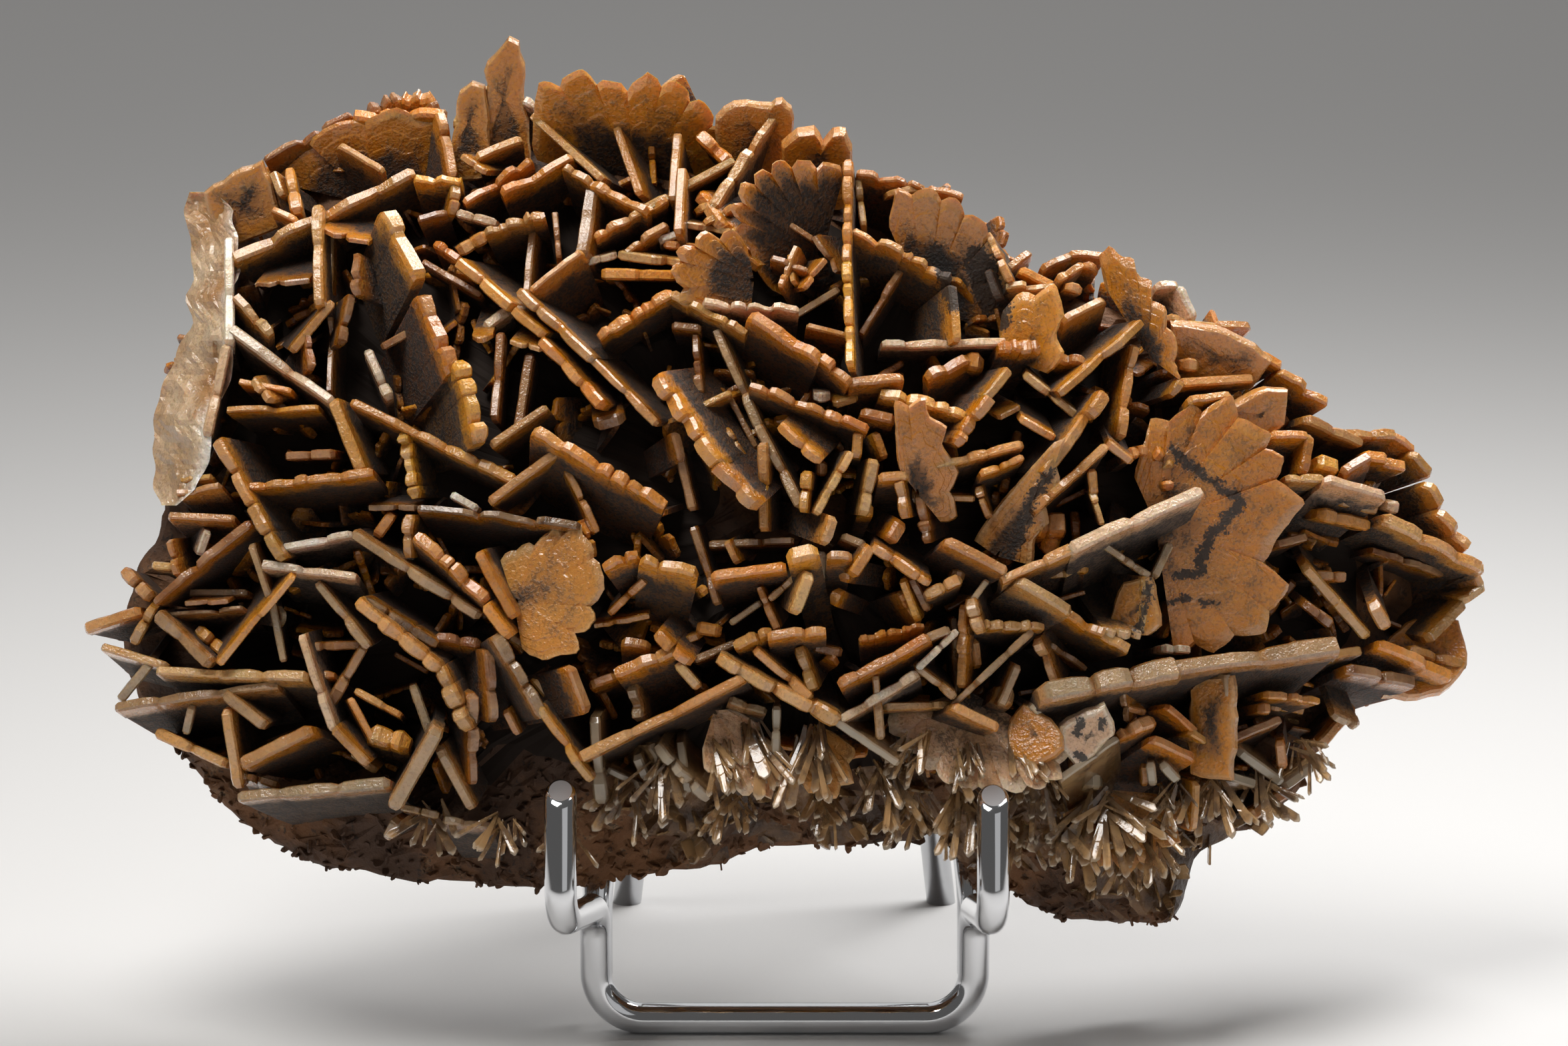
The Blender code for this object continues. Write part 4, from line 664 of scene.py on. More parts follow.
# Black dust on the large plates: half a width and a line on the face each. It is colour only.
DUST_LINES = (
    (0.75, ((46.8, 53.3), (49.8, 50.5), (54.8, 47.0), (51.0, 42.5), (50.0, 40.0), (50.0, 38.5),
        (47.0, 38.3))),
    (0.75, ((32.0, 50.5), (30.0, 48.0), (29.0, 45.0), (28.0, 42.0), (27.5, 40.5))),
    (0.60, ((42.5, 32.0), (43.5, 35.0), (43.8, 37.0))),
    (0.45, ((46.0, 35.0), (48.5, 35.5), (52.0, 34.7))),
    (2.00, ((23.4, 76.0), (25.6, 69.0))),
    (1.20, ((18.4, 77.0), (20.4, 71.0))),
    (0.55, ((38.0, 20.6), (38.1, 20.0))),
    (0.55, ((35.5, 20.5), (35.2, 19.2))),
    (0.50, ((35.4, 16.6), (35.8, 16.3))),
)

# The broken wall at the left end: height, left edge and front ridge on the face.
WALL = (
    (84.2, -71.4, -68.6), (82.0, -71.8, -66.2), (79.0, -71.4, -65.9), (73.0, -70.8, -65.8),
    (68.0, -71.6, -66.0), (64.0, -73.0, -66.4), (60.0, -74.8, -67.4), (56.0, -75.8, -68.2),
    (52.0, -75.7, -69.0), (48.5, -75.4, -70.4), (46.6, -74.6, -72.8),
)
WALL_DEPTH = 1.5
WALL_SLOPE = 0.85
WALL_THICKNESS = 5.0
WALL_ROWS = 60
WALL_COLUMNS = 13
WALL_TONE = (0.60, 0.46, 0.31)
WALL_SHADE = (0.33, 0.20, 0.10)
# The ridge's own paler colour, with a painted highlight in it.
WALL_RIDGE_PALE_AND_HIGHLIGHT = (0.88, 0.84, 0.78)
WALL_RIDGE_FROM = 0.72
WALL_TINT = 0.04

# Rows of a fan from its root to its rim: share of its reach, share of its thickness, and how proud.
FAN_ROWS = (
    (0.05, 1.0, 0.0), (0.25, 1.0, 0.06), (0.45, 1.0, 0.1), (0.62, 1.0, 0.12), (0.64, 0.95, 0.07),
    (0.80, 0.9, 0.05), (0.82, 0.85, 0.02), (0.94, 0.8, 0.0), (1.0, 0.35, 0.0),
)
FAN_STEP = 0.8
FAN_ROUND = 1.5
# FAN_ROOT_SHADE is painted shade: depth added over a fan's inner part, so the shader darkens it.
FAN_ROOT_SHADE = 6.5
FAN_RIPPLE = 0.08
FAN_RAGGED = (-0.08, 0.06)
FACE_TINT = 0.06
LOBE_TINT = 0.12
LOBE_LIFT = (0.6, 1.2)
LOBE_STEP = 0.06
LIT_DEPTH = 1.2

# Rows of a plate seen on its face: how far inwards, and share of its thickness.
PLATE_ROWS = (
    (0.0, 0.55), (0.3, 0.95), (1.2, 1.0), (2.6, 0.97), (2.75, 0.93), (5.2, 0.9), (5.4, 0.84), (9.0, 0.84),
)
PLATE_STEP = 1.3
PLATE_BULGE = (0.05, 0.35)
PLATE_TOOTH = (-0.22, 0.16)
PLATE_DEEP = (0.6, 3.0)

# A sheaf's crystals. A pair is a range.
SPRAY_TURN = 0.3
SPRAY_NEAR = (0.05, 0.75)
SPRAY_REACH = (0.45, 1.1)
SPRAY_WIDTH = (0.06, 0.19)
SPRAY_WIDEST = 1.7
SPRAY_TILT = (-0.5, 0.5)
SPRAY_ASTRAY = ((-1.6, 1.6), (-0.6, 0.8), (-1.2, 1.2))
SPRAY_THICKNESS = (0.35, 0.7)

# Crystal shape, in millimetres.
CHISEL = 0.28
THINNER = 0.80
VALLEY_FILL = 0.45
RIM_SHARE = 0.66
ROOT_DEPTH = 2.7
ROOT_WIDTH = 0.8
SPRAY_ROOT = 0.3
FIRST_LEDGE = (1.6, 3.2)
LEDGE_SHARE = (0.72, 0.95)
SECOND_SHARE = (0.85, 1.2)
LEDGE_RISE = 0.22
MIDDLE_LEDGE = (0.55, 0.58)
TWIST = 0.05
RELIEF_REACH = 0.6

# How a rim is broken into blocks, with notches between them and chips along them. A pair is a range.
BLOCK = 9.0
BLOCK_SHARES = (0.55, 1.5)
BLOCK_PROUD = (-0.45, 0.35)
BLOCK_SLANT = 0.35
BLOCK_THICKNESS = (0.82, 1.16)
BLOCK_TINT = 0.13
PLAIN_SLANT = 0.1
PLAIN_THICKNESS = (0.95, 1.05)
CORNER_SHARE = (0.24, 0.4)
PLAIN_CORNER = (0.24, 0.3)
NOTCH = 1.1
NOTCH_MOST = 0.4
NOTCH_DEPTH = (0.35, 1.1)
NOTCH_THICKNESS = 0.78
NOTCH_SHADE = 0.8
SHOULDER_PLACE = 0.3
SHOULDER_DEPTH = 0.42
SHOULDER_THICKNESS = 0.92
CHIP = 1.5
CHIP_PLACE = (0.3, 0.7)
CHIP_DEPTH = (-0.14, 0.1)
CHIP_THICKNESS = (0.93, 1.06)
CHIP_TINT = 0.09
NARROW = 2.6
NARROW_END = 0.42
END_SHARE = 0.22
END_PER_THICKNESS = 0.55
END_PLACE = 0.7
END_DEPTH = 0.12
END_THICKNESS = 0.72
BURIED_REACH = 0.96
BURIED_BY = 1.0
HEART = (0.0, 24.0, 45.0)
PULLS = (0.0, 0.25, 0.5, 0.9, 1.5)
NEAREST_ROOT = 3
DEEPEST_ROOT = 34
FALLBACK_ROOT = 14.0
SMALL_LEAN = 30.0
SMALL_DEPTH = 1.5
SMALL_DEPTHS = (0.3, 1.6)
SMALL_LOBED = 4.0

# The matrix's unevenness: size and height of each kind. Its three directions are read apart in the noise.
ROUGHNESS = ((11.0, 1.8), (4.3, 1.1), (1.9, 0.5), (0.9, 0.28))
NOISE_APART = ((9.3, -1.5, -7.9), (0.0, 0.0, 0.0), (6.3, 11.1, -3.8))
NEAR_RIM = 0.99
RIM_ROUGH = 0.6

# Crystals too many to read one by one: how many per square centimetre, and their seeds.
FILLER_DENSITY = 3.2
FILLER_SHADE = 1.2
FILLER_SEED = 3
DRUSE_DENSITY = 15.0
DRUSE_SEED = 5
DRUSE_LEFT = -18.0
DRUSE_RIGHT = 60.0
GRIT_DENSITY = 40.0
GRIT_SEED = 6
BACK_DENSITY = 1.5
BACK_SEED = 8
SQUARE_CM = 10000.0
DRUSE_TOP = 15.0
EDGE_TOP = 4.0
LOBE_LEFT = 36.0
BARE_LEFT = -70.0
RECESS_REACH = 0.88
CLEAR_TOP = 20.0
CLEAR_LEFT = -24.0
BACK_FACING = 0.25
UNDER_FACING = -0.5
UNDER_TOP = 30.0
DRUSE_FACING = -0.6
ROOT_BELOW = 1.2
OFF_THE_FACE = (-999.0, -999.0)

# Inputs of the tree that grows them: name, kind and value. Sizes are shares, tilt is in radians.
GROWTH_INPUTS = (
    ("Geometry", "Geometry", None), ("Crystals", "Collection", None), ("Density", "Float", SQUARE_CM),
    ("Seed", "Int", 0), ("Smallest", "Float", 0.7), ("Largest", "Float", 1.3), ("Tilt", "Float", 0.7),
    ("Material", "Material", None),
)

# The crystals that it picks from: length, reach, thickness, lobes and tone.
FILLER_KINDS = (
    (6.0, 4.0, 0.8, 2, "o"), (8.0, 3.4, 0.9, 3, "b"), (5.0, 4.5, 0.7, 1, "t"), (9.0, 4.0, 0.9, 4, "o"),
    (4.0, 4.0, 0.6, 1, "k"), (6.0, 4.0, 0.8, 1, "b"),
)
DRUSE_KINDS = (
    (4.6, 5.0, 0.6, 1, "p"), (6.0, 4.2, 0.8, 2, "g"), (2.6, 5.6, 0.6, 1, "w"), (1.8, 3.6, 0.6, 1, "p"),
)
GRIT_KINDS = (
    (2.4, 2.0, 0.6, 1, "g"), (3.0, 1.6, 0.8, 1, "b"), (1.6, 2.2, 0.6, 1, "k"), (1.4, 1.6, 0.7, 1, "b"),
)

# The easel. Prongs, arms and legs are read on the face like the crystals.
WIRE = 3.9
WIRE_SIDES = 32
BEND_STEPS = 14
WELD_GAP = 0.3
PRONG_DEPTH = 2.2
PRONG_X = (-26.8, 25.1)
PRONG_TOP = (12.4, 11.8)
ARM_Z = -3.25
ELBOW_X = (-22.6, 22.8)
ELBOW_DEPTH = 25.0
BAR_Z = -15.0
HOOK_BEND = 4.0
ELBOW_BEND = 4.5
BAR_BEND = 6.0
BACKREST_RISE = 62.0
BACKREST_TOP_DEPTH = 50.6
BACKREST_TOP_X = 17.0
BACKREST_FOOT_Z = -19.0
KNEE_RISE = 0.0
KNEE_BEND = 12.0
TOP_BEND = 7.0
STRUT_TOP_X = 13.0
STRUT_FOOT_X = 21.5
STRUT_FOOT_Y = 82.0
STRUT_BEND = 6.0
# A cut end's rounding: how far from the end, and share of the radius there.
TIP_ROUNDING = ((0.0, 0.72), (0.12, 0.86), (0.32, 0.95), (0.55, 1.0))
TIP_SLANT = math.radians(28.0)
TIP_RINGS = 4

# Colours of the other materials.
GRAIN_COLOUR = (0.92, 0.50, 0.16)
GLASS_RIM = (0.92, 0.78, 0.58)
GLASS_WARM = (0.70, 0.42, 0.17)
GLASS_CLOUD = (0.20, 0.09, 0.028)
GLASS_ROOT_SHADE = (0.20, 0.10, 0.04)
ROCK_DARK = (0.060, 0.026, 0.011)
ROCK_RUST = (0.165, 0.068, 0.022)
ROCK_PALE = (0.30, 0.19, 0.105)
CRUST_DARK = (0.045, 0.019, 0.006)
CRUST_BROWN = (0.19, 0.095, 0.036)
CRUST_PALE = (0.46, 0.30, 0.16)
# Painted shade on the matrix's front between the crystals.
RECESS_SHADE_COLOUR = (0.016, 0.008, 0.004)
CHROME_COLOUR = (0.70, 0.71, 0.73)
SAWN_COLOUR = (0.34, 0.34, 0.35)
FLOOR_COLOUR = (0.62, 0.61, 0.60)
CHROME_ROUGHNESS = 0.09
SAWN_ROUGHNESS = 0.36
FLOOR_ROUGHNESS = 0.6
RECESS_ROUGHNESS = 0.9
BARITE_IOR = 1.64
SCATTER = (1.0, 0.40, 0.12)
SCATTER_DEPTH = 0.0020
PATCH_EDGE = (-0.35, 0.1)
PATCH_SHARE = 0.94

# The studio. Lights: name, place in metres, size, power and colour.
LIGHTS = (
    ("key", (-0.16, -0.16, 0.48), 0.22, 1.9, (1.0, 0.985, 0.96)),
    ("top", (0.16, 0.10, 0.42), 0.22, 2.1, (1.0, 1.0, 1.0)),
    ("front", (0.30, -0.55, 0.22), 0.40, 0.2, (1.0, 1.0, 1.0)),
    ("back", (0.0, 1.3, 1.1), 1.6, 5.0, (1.0, 1.0, 1.0)),
)
LIT_PLACE = (0.0, 0.0, 0.06)
WORLD_COLOUR = (0.82, 0.80, 0.78, 1.0)
WORLD_STRENGTH = 0.13
NEAR_CLIP = 0.01
FAR_CLIP = 20.0
FLOOR_RADIUS = 4.0
FLOOR_SIDES = 96


def spread(x, z, y):
    """A read point's true place at depth y, in the face frame."""
    grow = (VIEW + y) / VIEW
    return Vector((SIGHT[0] + (x - SIGHT[0]) * grow, y, SIGHT[1] + (z - SIGHT[1]) * grow))


def read(point):
    """The reading (x, z) at which the eye sees a point of the face frame."""
    shrink = VIEW / (VIEW + point.y)
    return SIGHT[0] + (point.x - SIGHT[0]) * shrink, SIGHT[1] + (point.z - SIGHT[1]) * shrink


def lean(point):
    """Face frame to upright millimetres, before the object is centred on its floor."""
    c, s = math.cos(LEAN), math.sin(LEAN)
    return Vector((point.x, point.y * c + point.z * s, point.z * c - point.y * s))


def world(point):
    """Upright millimetres to the object's own metres."""
    return (point - Vector((CENTRE_X, CENTRE_Y, FLOOR_Z))) * MM


def face_depth(x, z):
    """Depth of the crystal tips at a reading."""
    u = (x - FACE_MIDDLE[0]) / HALF_WIDTH
    v = (z - FACE_MIDDLE[1]) / HALF_HEIGHT
    side = FALL_RIGHT if u > 0 else FALL_LEFT
    rise = FALL_TOP if v > 0 else FALL_FOOT
    return side * u * u + rise * v * v


def outline_reach(x, z):
    """How far out a reading lies in the matrix outline: 0 in its middle, 1 on it."""
    dx, dz = x - MATRIX_MIDDLE[0], z - MATRIX_MIDDLE[1]
    best = 10.0
    for a, b in zip(MATRIX_OUTLINE, MATRIX_OUTLINE[1:] + MATRIX_OUTLINE[:1]):
        ax, az = a[0] - MATRIX_MIDDLE[0], a[1] - MATRIX_MIDDLE[1]
        ex, ez = b[0] - a[0], b[1] - a[1]
        cross = dx * ez - dz * ex
        if abs(cross) < 1e-9:
            continue
        along = (ax * ez - az * ex) / cross
        across = (ax * dz - az * dx) / cross
        if along > 0 and -1e-6 <= across <= 1 + 1e-6:
            best = min(best, along)
    return 1.0 / best


def matrix_depths(x, z, reach):
    """Depth of the matrix's front and back at a reading, which is reach of the way to its rim."""
    rim = face_depth(x, z) + TIP_TO_RIM
    bulge = math.sqrt(max(0.0, 1.0 - reach * reach))
    front = rim - (TIP_TO_RIM - TIP_TO_MATRIX) * bulge
    back = rim + max(4.0, BACK_AT_FOOT + BACK_SLOPE * z - rim) * bulge
    return front, back


def buried(point):
    """True where a point is inside the matrix."""
    x, z = read(point)
    reach = outline_reach(x, z)
    if reach >= BURIED_REACH:
        return False
    front, back = matrix_depths(x, z, reach)
    return front + BURIED_BY < point.y < back - BURIED_BY


def root_direction(start, run, degrees):
    """Way from a rim's middle into the matrix, and its length: steeper inwards where it would miss."""
    side = Vector((-run.z, 0.0, run.x)).normalized()
    angle = math.radians(degrees)
    base = Vector((0.0, math.cos(angle), 0.0)) + side * math.sin(angle)
    for pull in PULLS:
        way = base + (Vector(HEART) - start).normalized() * pull
        way -= run * way.dot(run)
        way.normalize()
        for step in range(NEAREST_ROOT, DEEPEST_ROOT):
            if buried(start + way * step):
                return way, step + ROOT_DEPTH
    return way, FALLBACK_ROOT


class Shape:
    """Points and faces of many crystals, with what the shader needs to know at each point."""

    def __init__(self):
        self.points = []
        self.faces = []
        self.tones = []
        self.deep = []
        self.at = []

    def add(self, points, faces, tones, deep):
        """Adds points of the face frame; deep grows with each one's distance from the crystal's rim, and
        the shader paints a highlight, a glow and shade from it.
        """
        first = len(self.points)
        self.points += [world(lean(p)) for p in points]
        self.faces += [tuple(first + i for i in face) for face in faces]
        self.tones += tones
        self.deep += deep
        self.at += [read(p) for p in points]

    def build(self, name):
        """The crystals as one mesh: tone is a body colour, deep and at are as add() has them."""
        mesh = bpy.data.meshes.new(name)
        mesh.from_pydata(self.points, [], self.faces)
        tone = mesh.attributes.new("tone", "FLOAT_COLOR", "POINT")
        tone.data.foreach_set("color", [c for t in self.tones for c in (*t, 1.0)])
        deep = mesh.attributes.new("deep", "FLOAT", "POINT")
        deep.data.foreach_set("value", self.deep)
        at = mesh.attributes.new("at", "FLOAT_VECTOR", "POINT")
        at.data.foreach_set("vector", [c for x, z in self.at for c in (x, z, 0.0)])
        outwards(mesh)
        return mesh


def outwards(mesh):
    """Turns a mesh's faces outwards and makes them flat."""
    bm = bmesh.new()
    bm.from_mesh(mesh)
    bmesh.ops.recalc_face_normals(bm, faces=bm.faces)
    for face in bm.faces:
        face.smooth = False
    bm.to_mesh(mesh)
    bm.free()


def between(one, two, share):
    """Two equally long rows of numbers, mixed."""
    return [a + (b - a) * share for a, b in zip(one, two)]


def jittered(colour, rng, by):
    """A colour made lighter or darker, and warmer or cooler, by chance."""
    gain = 1.0 + rng.uniform(-by, by)
    warm = 1.0 + rng.uniform(-by, by) * 0.7
    r, g, b = colour
    return r * gain, g * gain * warm, b * gain * warm * warm


def varied(tone, rng, by=0.24):
    """A colour of the table's tone, a little different for every crystal."""
    return jittered(TONES[tone], rng, by)


def rim_stations(length, lobes, thickness, tone, rng):
    """Stations along a rim: place, how far set back, share of the full thickness, and tone.

    A rim is a row of blocks with narrow notches between them, deep where it was read as lobed."""
    lobed = lobes > 1
    blocks = lobes if lobed else max(1, round(length / BLOCK))
    shares = [rng.uniform(*BLOCK_SHARES) for _ in range(blocks)]
    total = sum(shares)
    end_cut = min(END_SHARE * length, thickness * END_PER_THICKNESS)
    if length < NARROW:
        end_cut = NARROW_END * length
    stations = []
    start = 0.0
    notch = 0.0
    for index, share in enumerate(shares):
        width = length * share / total
        tint = jittered(tone, rng, BLOCK_TINT)
        proud, slant = 0.0, PLAIN_SLANT
        if lobed:
            proud = rng.uniform(*BLOCK_PROUD)
            slant = rng.uniform(-BLOCK_SLANT, BLOCK_SLANT)
        first, last = -proud - slant, slant - proud
        thick = rng.uniform(*(BLOCK_THICKNESS if lobed else PLAIN_THICKNESS))
        corner = min(PLAIN_CORNER[0] * width, PLAIN_CORNER[1])
        if lobed:
            corner = width * rng.uniform(*CORNER_SHARE)
        shoulder = thick * SHOULDER_THICKNESS
        if index == 0:
            stations.append((0.0, end_cut, END_THICKNESS, tint))
            stations.append((end_cut * END_PLACE, end_cut * END_DEPTH + first, thick, tint))
        else:
            set_back = notch * SHOULDER_DEPTH + first
            stations.append((start + corner * SHOULDER_PLACE, set_back, shoulder, tint))
            stations.append((start + corner, first, thick, tint))
        flat = width - 2.0 * corner
        chips = max(1, round(flat / CHIP))
        for chip in range(1, chips + 1):
            peak = corner + flat * (chip - rng.uniform(*CHIP_PLACE)) / chips
            set_back = first + (last - first) * (peak / width) + rng.uniform(*CHIP_DEPTH)
            uneven = thick * rng.uniform(*CHIP_THICKNESS)
            stations.append((start + peak, set_back, uneven, jittered(tint, rng, CHIP_TINT)))
        start += width
        if index == blocks - 1:
            stations.append((length - end_cut * END_PLACE, end_cut * END_DEPTH + last, thick, tint))
            stations.append((length, end_cut, END_THICKNESS, tint))
        else:
            notch = min(NOTCH, NOTCH_MOST * width) * (rng.uniform(*NOTCH_DEPTH) if lobed else 0.0)
            # Painted shade: a lobed notch's tint is darkened.
            shade = NOTCH_SHADE if lobed else 1.0
            set_back = notch * SHOULDER_DEPTH + last
            stations.append((start - corner, last, thick, tint))
            stations.append((start - corner * SHOULDER_PLACE, set_back, shoulder, tint))
            deepest = (max(notch, last), NOTCH_THICKNESS if lobed else 1.0)
            stations.append((start, *deepest, tuple(c * shade for c in tint)))
    return stations


def rim_line(row, deeper):
    """Start, direction, length and middle in the face frame of a rim read as x0, z0, x1, z1."""
    x0, z0, x1, z1 = row[:4]
    start = spread(x0, z0, face_depth(x0, z0) + deeper)
    end = spread(x1, z1, face_depth(x1, z1) + deeper)
    length = (end - start).length
    return start, (end - start) / length, length, (start + end) * 0.5


def blade(shape, row, rng):
    """One crystal seen on its rim: a plate with a chisel rim in lobes, which runs into the matrix."""
    thickness, degrees, deeper, lobes, tone = row[4:]
    start, run, length, middle = rim_line(row, deeper)
    way, reach = root_direction(middle, run, degrees)
    across = run.cross(way).normalized()
    size = (length, reach, thickness * THINNER)
    add_blade(shape, (start, run, way, across), size, lobes, varied(tone, rng), rng)


def spray(shape, row, rng):
    """A sheaf of narrow flat crystals that fan out from a root, seen on their faces."""
    x, z, length, first, last, count, deeper, tone = row
    root = spread(x, z, face_depth(x, z) + deeper)
    for index in range(count):
        place = index + rng.uniform(-SPRAY_TURN, SPRAY_TURN)
        turn = math.radians(first + (last - first) * place / max(1, count - 1))
        out = Vector((math.cos(turn), -rng.uniform(*SPRAY_NEAR), math.sin(turn))).normalized()
        own = length * rng.uniform(*SPRAY_REACH)
        width = min(SPRAY_WIDEST, own * rng.uniform(*SPRAY_WIDTH))
        flat = Vector((rng.uniform(*SPRAY_TILT), 1.0, rng.uniform(*SPRAY_TILT)))
        run = out.cross(flat).normalized()
        astray = Vector([rng.uniform(*reach) for reach in SPRAY_ASTRAY])
        start = root + astray + out * own - run * width * 0.5
        frame = (start, run, -out, run.cross(-out).normalized())
        size = (width, own, rng.uniform(*SPRAY_THICKNESS))
        add_blade(shape, frame, size, 1, varied(tone, rng), rng, SPRAY_ROOT)


def layered_faces(levels, count, mirrored=False):
    """Faces of a flat body from two layers of levels x count points: both layers and the rim.

    A face folds along one of its diagonals, and mirrored swaps them between the layers."""
    layer = levels * count
    faces = []

    def close(one, two):
        faces.append((one, two, layer + two, layer + one))

    for level in range(levels - 1):
        for column in range(count - 1):
            one = level * count + column
            quad = (one, one + 1, one + 1 + count, one + count)
            near, far = (quad[::-1], quad) if mirrored else (quad, quad[::-1])
            faces.extend((near, tuple(layer + i for i in far)))
        for column in (0, count - 1):
            close(level * count + column, (level + 1) * count + column)
    for level in (0, levels - 1):
        for column in range(count - 1):
            close(level * count + column, level * count + column + 1)
    return faces


def add_blade(shape, frame, size, lobes, tone, rng, root_width=ROOT_WIDTH):
    """Adds one crystal: its rim runs along run from start, and its plate goes along way to its root."""
    start, run, way, across = frame
    length, reach, thickness = size
    stations = rim_stations(length, lobes, thickness, tone, rng)
    step = min(rng.uniform(*FIRST_LEDGE), reach * 0.35)
    ledge = rng.uniform(*LEDGE_SHARE)
    second = ledge * rng.uniform(*SECOND_SHARE)
    rows = (
        (0.0, RIM_SHARE),
        (CHISEL * thickness, 1.0),
        (step, 1.0),
        (step + LEDGE_RISE, ledge),
        (reach * MIDDLE_LEDGE[0], ledge),
        (reach * MIDDLE_LEDGE[1], second),
        (reach, second * 0.9),
    )
    twist = rng.uniform(-TWIST, TWIST)
    points, deep, tones = [], [], []
    half = length * 0.5
    for side in (-1.0, 1.0):
        for w, share in rows:
            fade = max(0.0, 1.0 - w / (reach * RELIEF_REACH))
            squeeze = 1.0 - (1.0 - root_width) * (w / reach) ** 1.5
            for s, back, thick, tint in stations:
                along = half + (s - half) * squeeze
                inward = w + back * fade
                out = side * thickness * 0.5 * share * (1.0 + (thick - 1.0) * fade)
                points.append(start + run * along + way * inward + across * (out + twist * inward))
                deep.append(w + max(0.0, back) * 0.5 * fade)
                tones.append(tint)
    shape.add(points, layered_faces(len(rows), len(stations), True), tones, deep)


def toothed(spots, middle, rng):
    """A plate's outline, cut finer, with its sides a little bulged and small teeth along them."""
    fine = []
    for a, b in zip(spots, spots[1:] + spots[:1]):
        a, b = Vector(a), Vector(b)
        edge = b - a
        out = Vector((edge.y, -edge.x)).normalized()
        if out.dot((a + b) * 0.5 - middle) < 0:
            out = -out
        steps = max(2, round(edge.length / PLATE_STEP))
        bulge = min(PLATE_BULGE[0] * edge.length, PLATE_BULGE[1])
        for i in range(steps):
            t = i / steps
            tooth = rng.uniform(*PLATE_TOOTH) if i else 0.0
            fine.append(a + edge * t + out * (bulge * math.sin(math.pi * t) + tooth))
    return fine


def plate(shape, row, rng):
    """One crystal seen on its face: a bevelled rim with small teeth, and growth steps inwards."""
    thickness, deeper, slope_x, slope_z, tone, spots = row
    middle = Vector((sum(x for x, z in spots), sum(z for x, z in spots))) / len(spots)
    depth = face_depth(*middle) + deeper
    fine = toothed(spots, middle, rng)
    across = Vector((-slope_x, 1.0, -slope_z)).normalized() * thickness
    tint = varied(tone, rng, FACE_TINT)
    points, deep, faces = [], [], []
    count = len(fine)
    levels = len(PLATE_ROWS)
    for side in (-1.0, 1.0):
        for level, (inset, share) in enumerate(PLATE_ROWS):
            for spot in fine:
                arm = spot - middle
                wobble = 1.0 + 0.35 * noise.noise(Vector((spot.x * 0.35, spot.y * 0.35, level)))
                inner = middle + arm * max(0.1, 1.0 - inset * wobble / max(arm.length, 0.1))
                rise = slope_x * (inner.x - middle.x) + slope_z * (inner.y - middle.y)
                centre = spread(inner.x, inner.y, depth + rise) + across * 0.5
                points.append(centre + across * (0.5 * side * share))
                deep.append(min(inset * PLATE_DEEP[0], PLATE_DEEP[1]))
    far = levels * count
    for i in range(count):
        j = (i + 1) % count
        for first in (0, far):
            for one in range(first, first + far - count, count):
                faces.append((one + i, one + j, one + count + j, one + count + i))
        faces.append((i, far + i, far + j, j))
    faces += [tuple(range(hub - count, hub)) for hub in (far, 2 * far)]
    shape.add(points, faces, [tint] * len(points), deep)


def fan_columns(root, spots, point, rng):
    """Points along a fan's rim, each with its lobe's number and how far that lobe laps there.

    A lobe runs from valley to valley. Its tip is round where point is 0 and sharp where it is 1."""
    reaches = [(spot - root).length for spot in spots]
    valleys = [i for i in range(1, len(spots) - 1) if reaches[i] < min(reaches[i - 1], reaches[i + 1])]
    chords = {i: (spots[i - 1] + spots[i + 1]) * 0.5 for i in valleys}
    spots = [spot.lerp(chords.get(i, spot), VALLEY_FILL) for i, spot in enumerate(spots)]
    columns = []
    start = 0
    for lobe, stop in enumerate(valleys + [len(spots) - 1]):
        edge = spots[start:stop + 1]
        legs = [(b - a).length for a, b in zip(edge, edge[1:])]
        steps = max(4, round(sum(legs) / FAN_STEP))
        for k in range(steps + 1):
            along = k / steps
            gone = along * sum(legs)
            leg = 0
            while leg < len(legs) - 1 and gone > legs[leg]:
                gone -= legs[leg]
                leg += 1
            sharp = edge[leg].lerp(edge[leg + 1], min(1.0, gone / legs[leg]))
            if 0 < k < steps:
                swell = math.sin(math.pi * along) ** 0.5 - (1.0 - abs(2.0 * along - 1.0))
                rise = (1.0 - point) * swell * FAN_ROUND + rng.uniform(*FAN_RAGGED)
                sharp = sharp + (sharp - root).normalized() * rise
            columns.append((sharp, lobe, 1.0 - along * along))
        start = stop
    return columns, len(valleys) + 1


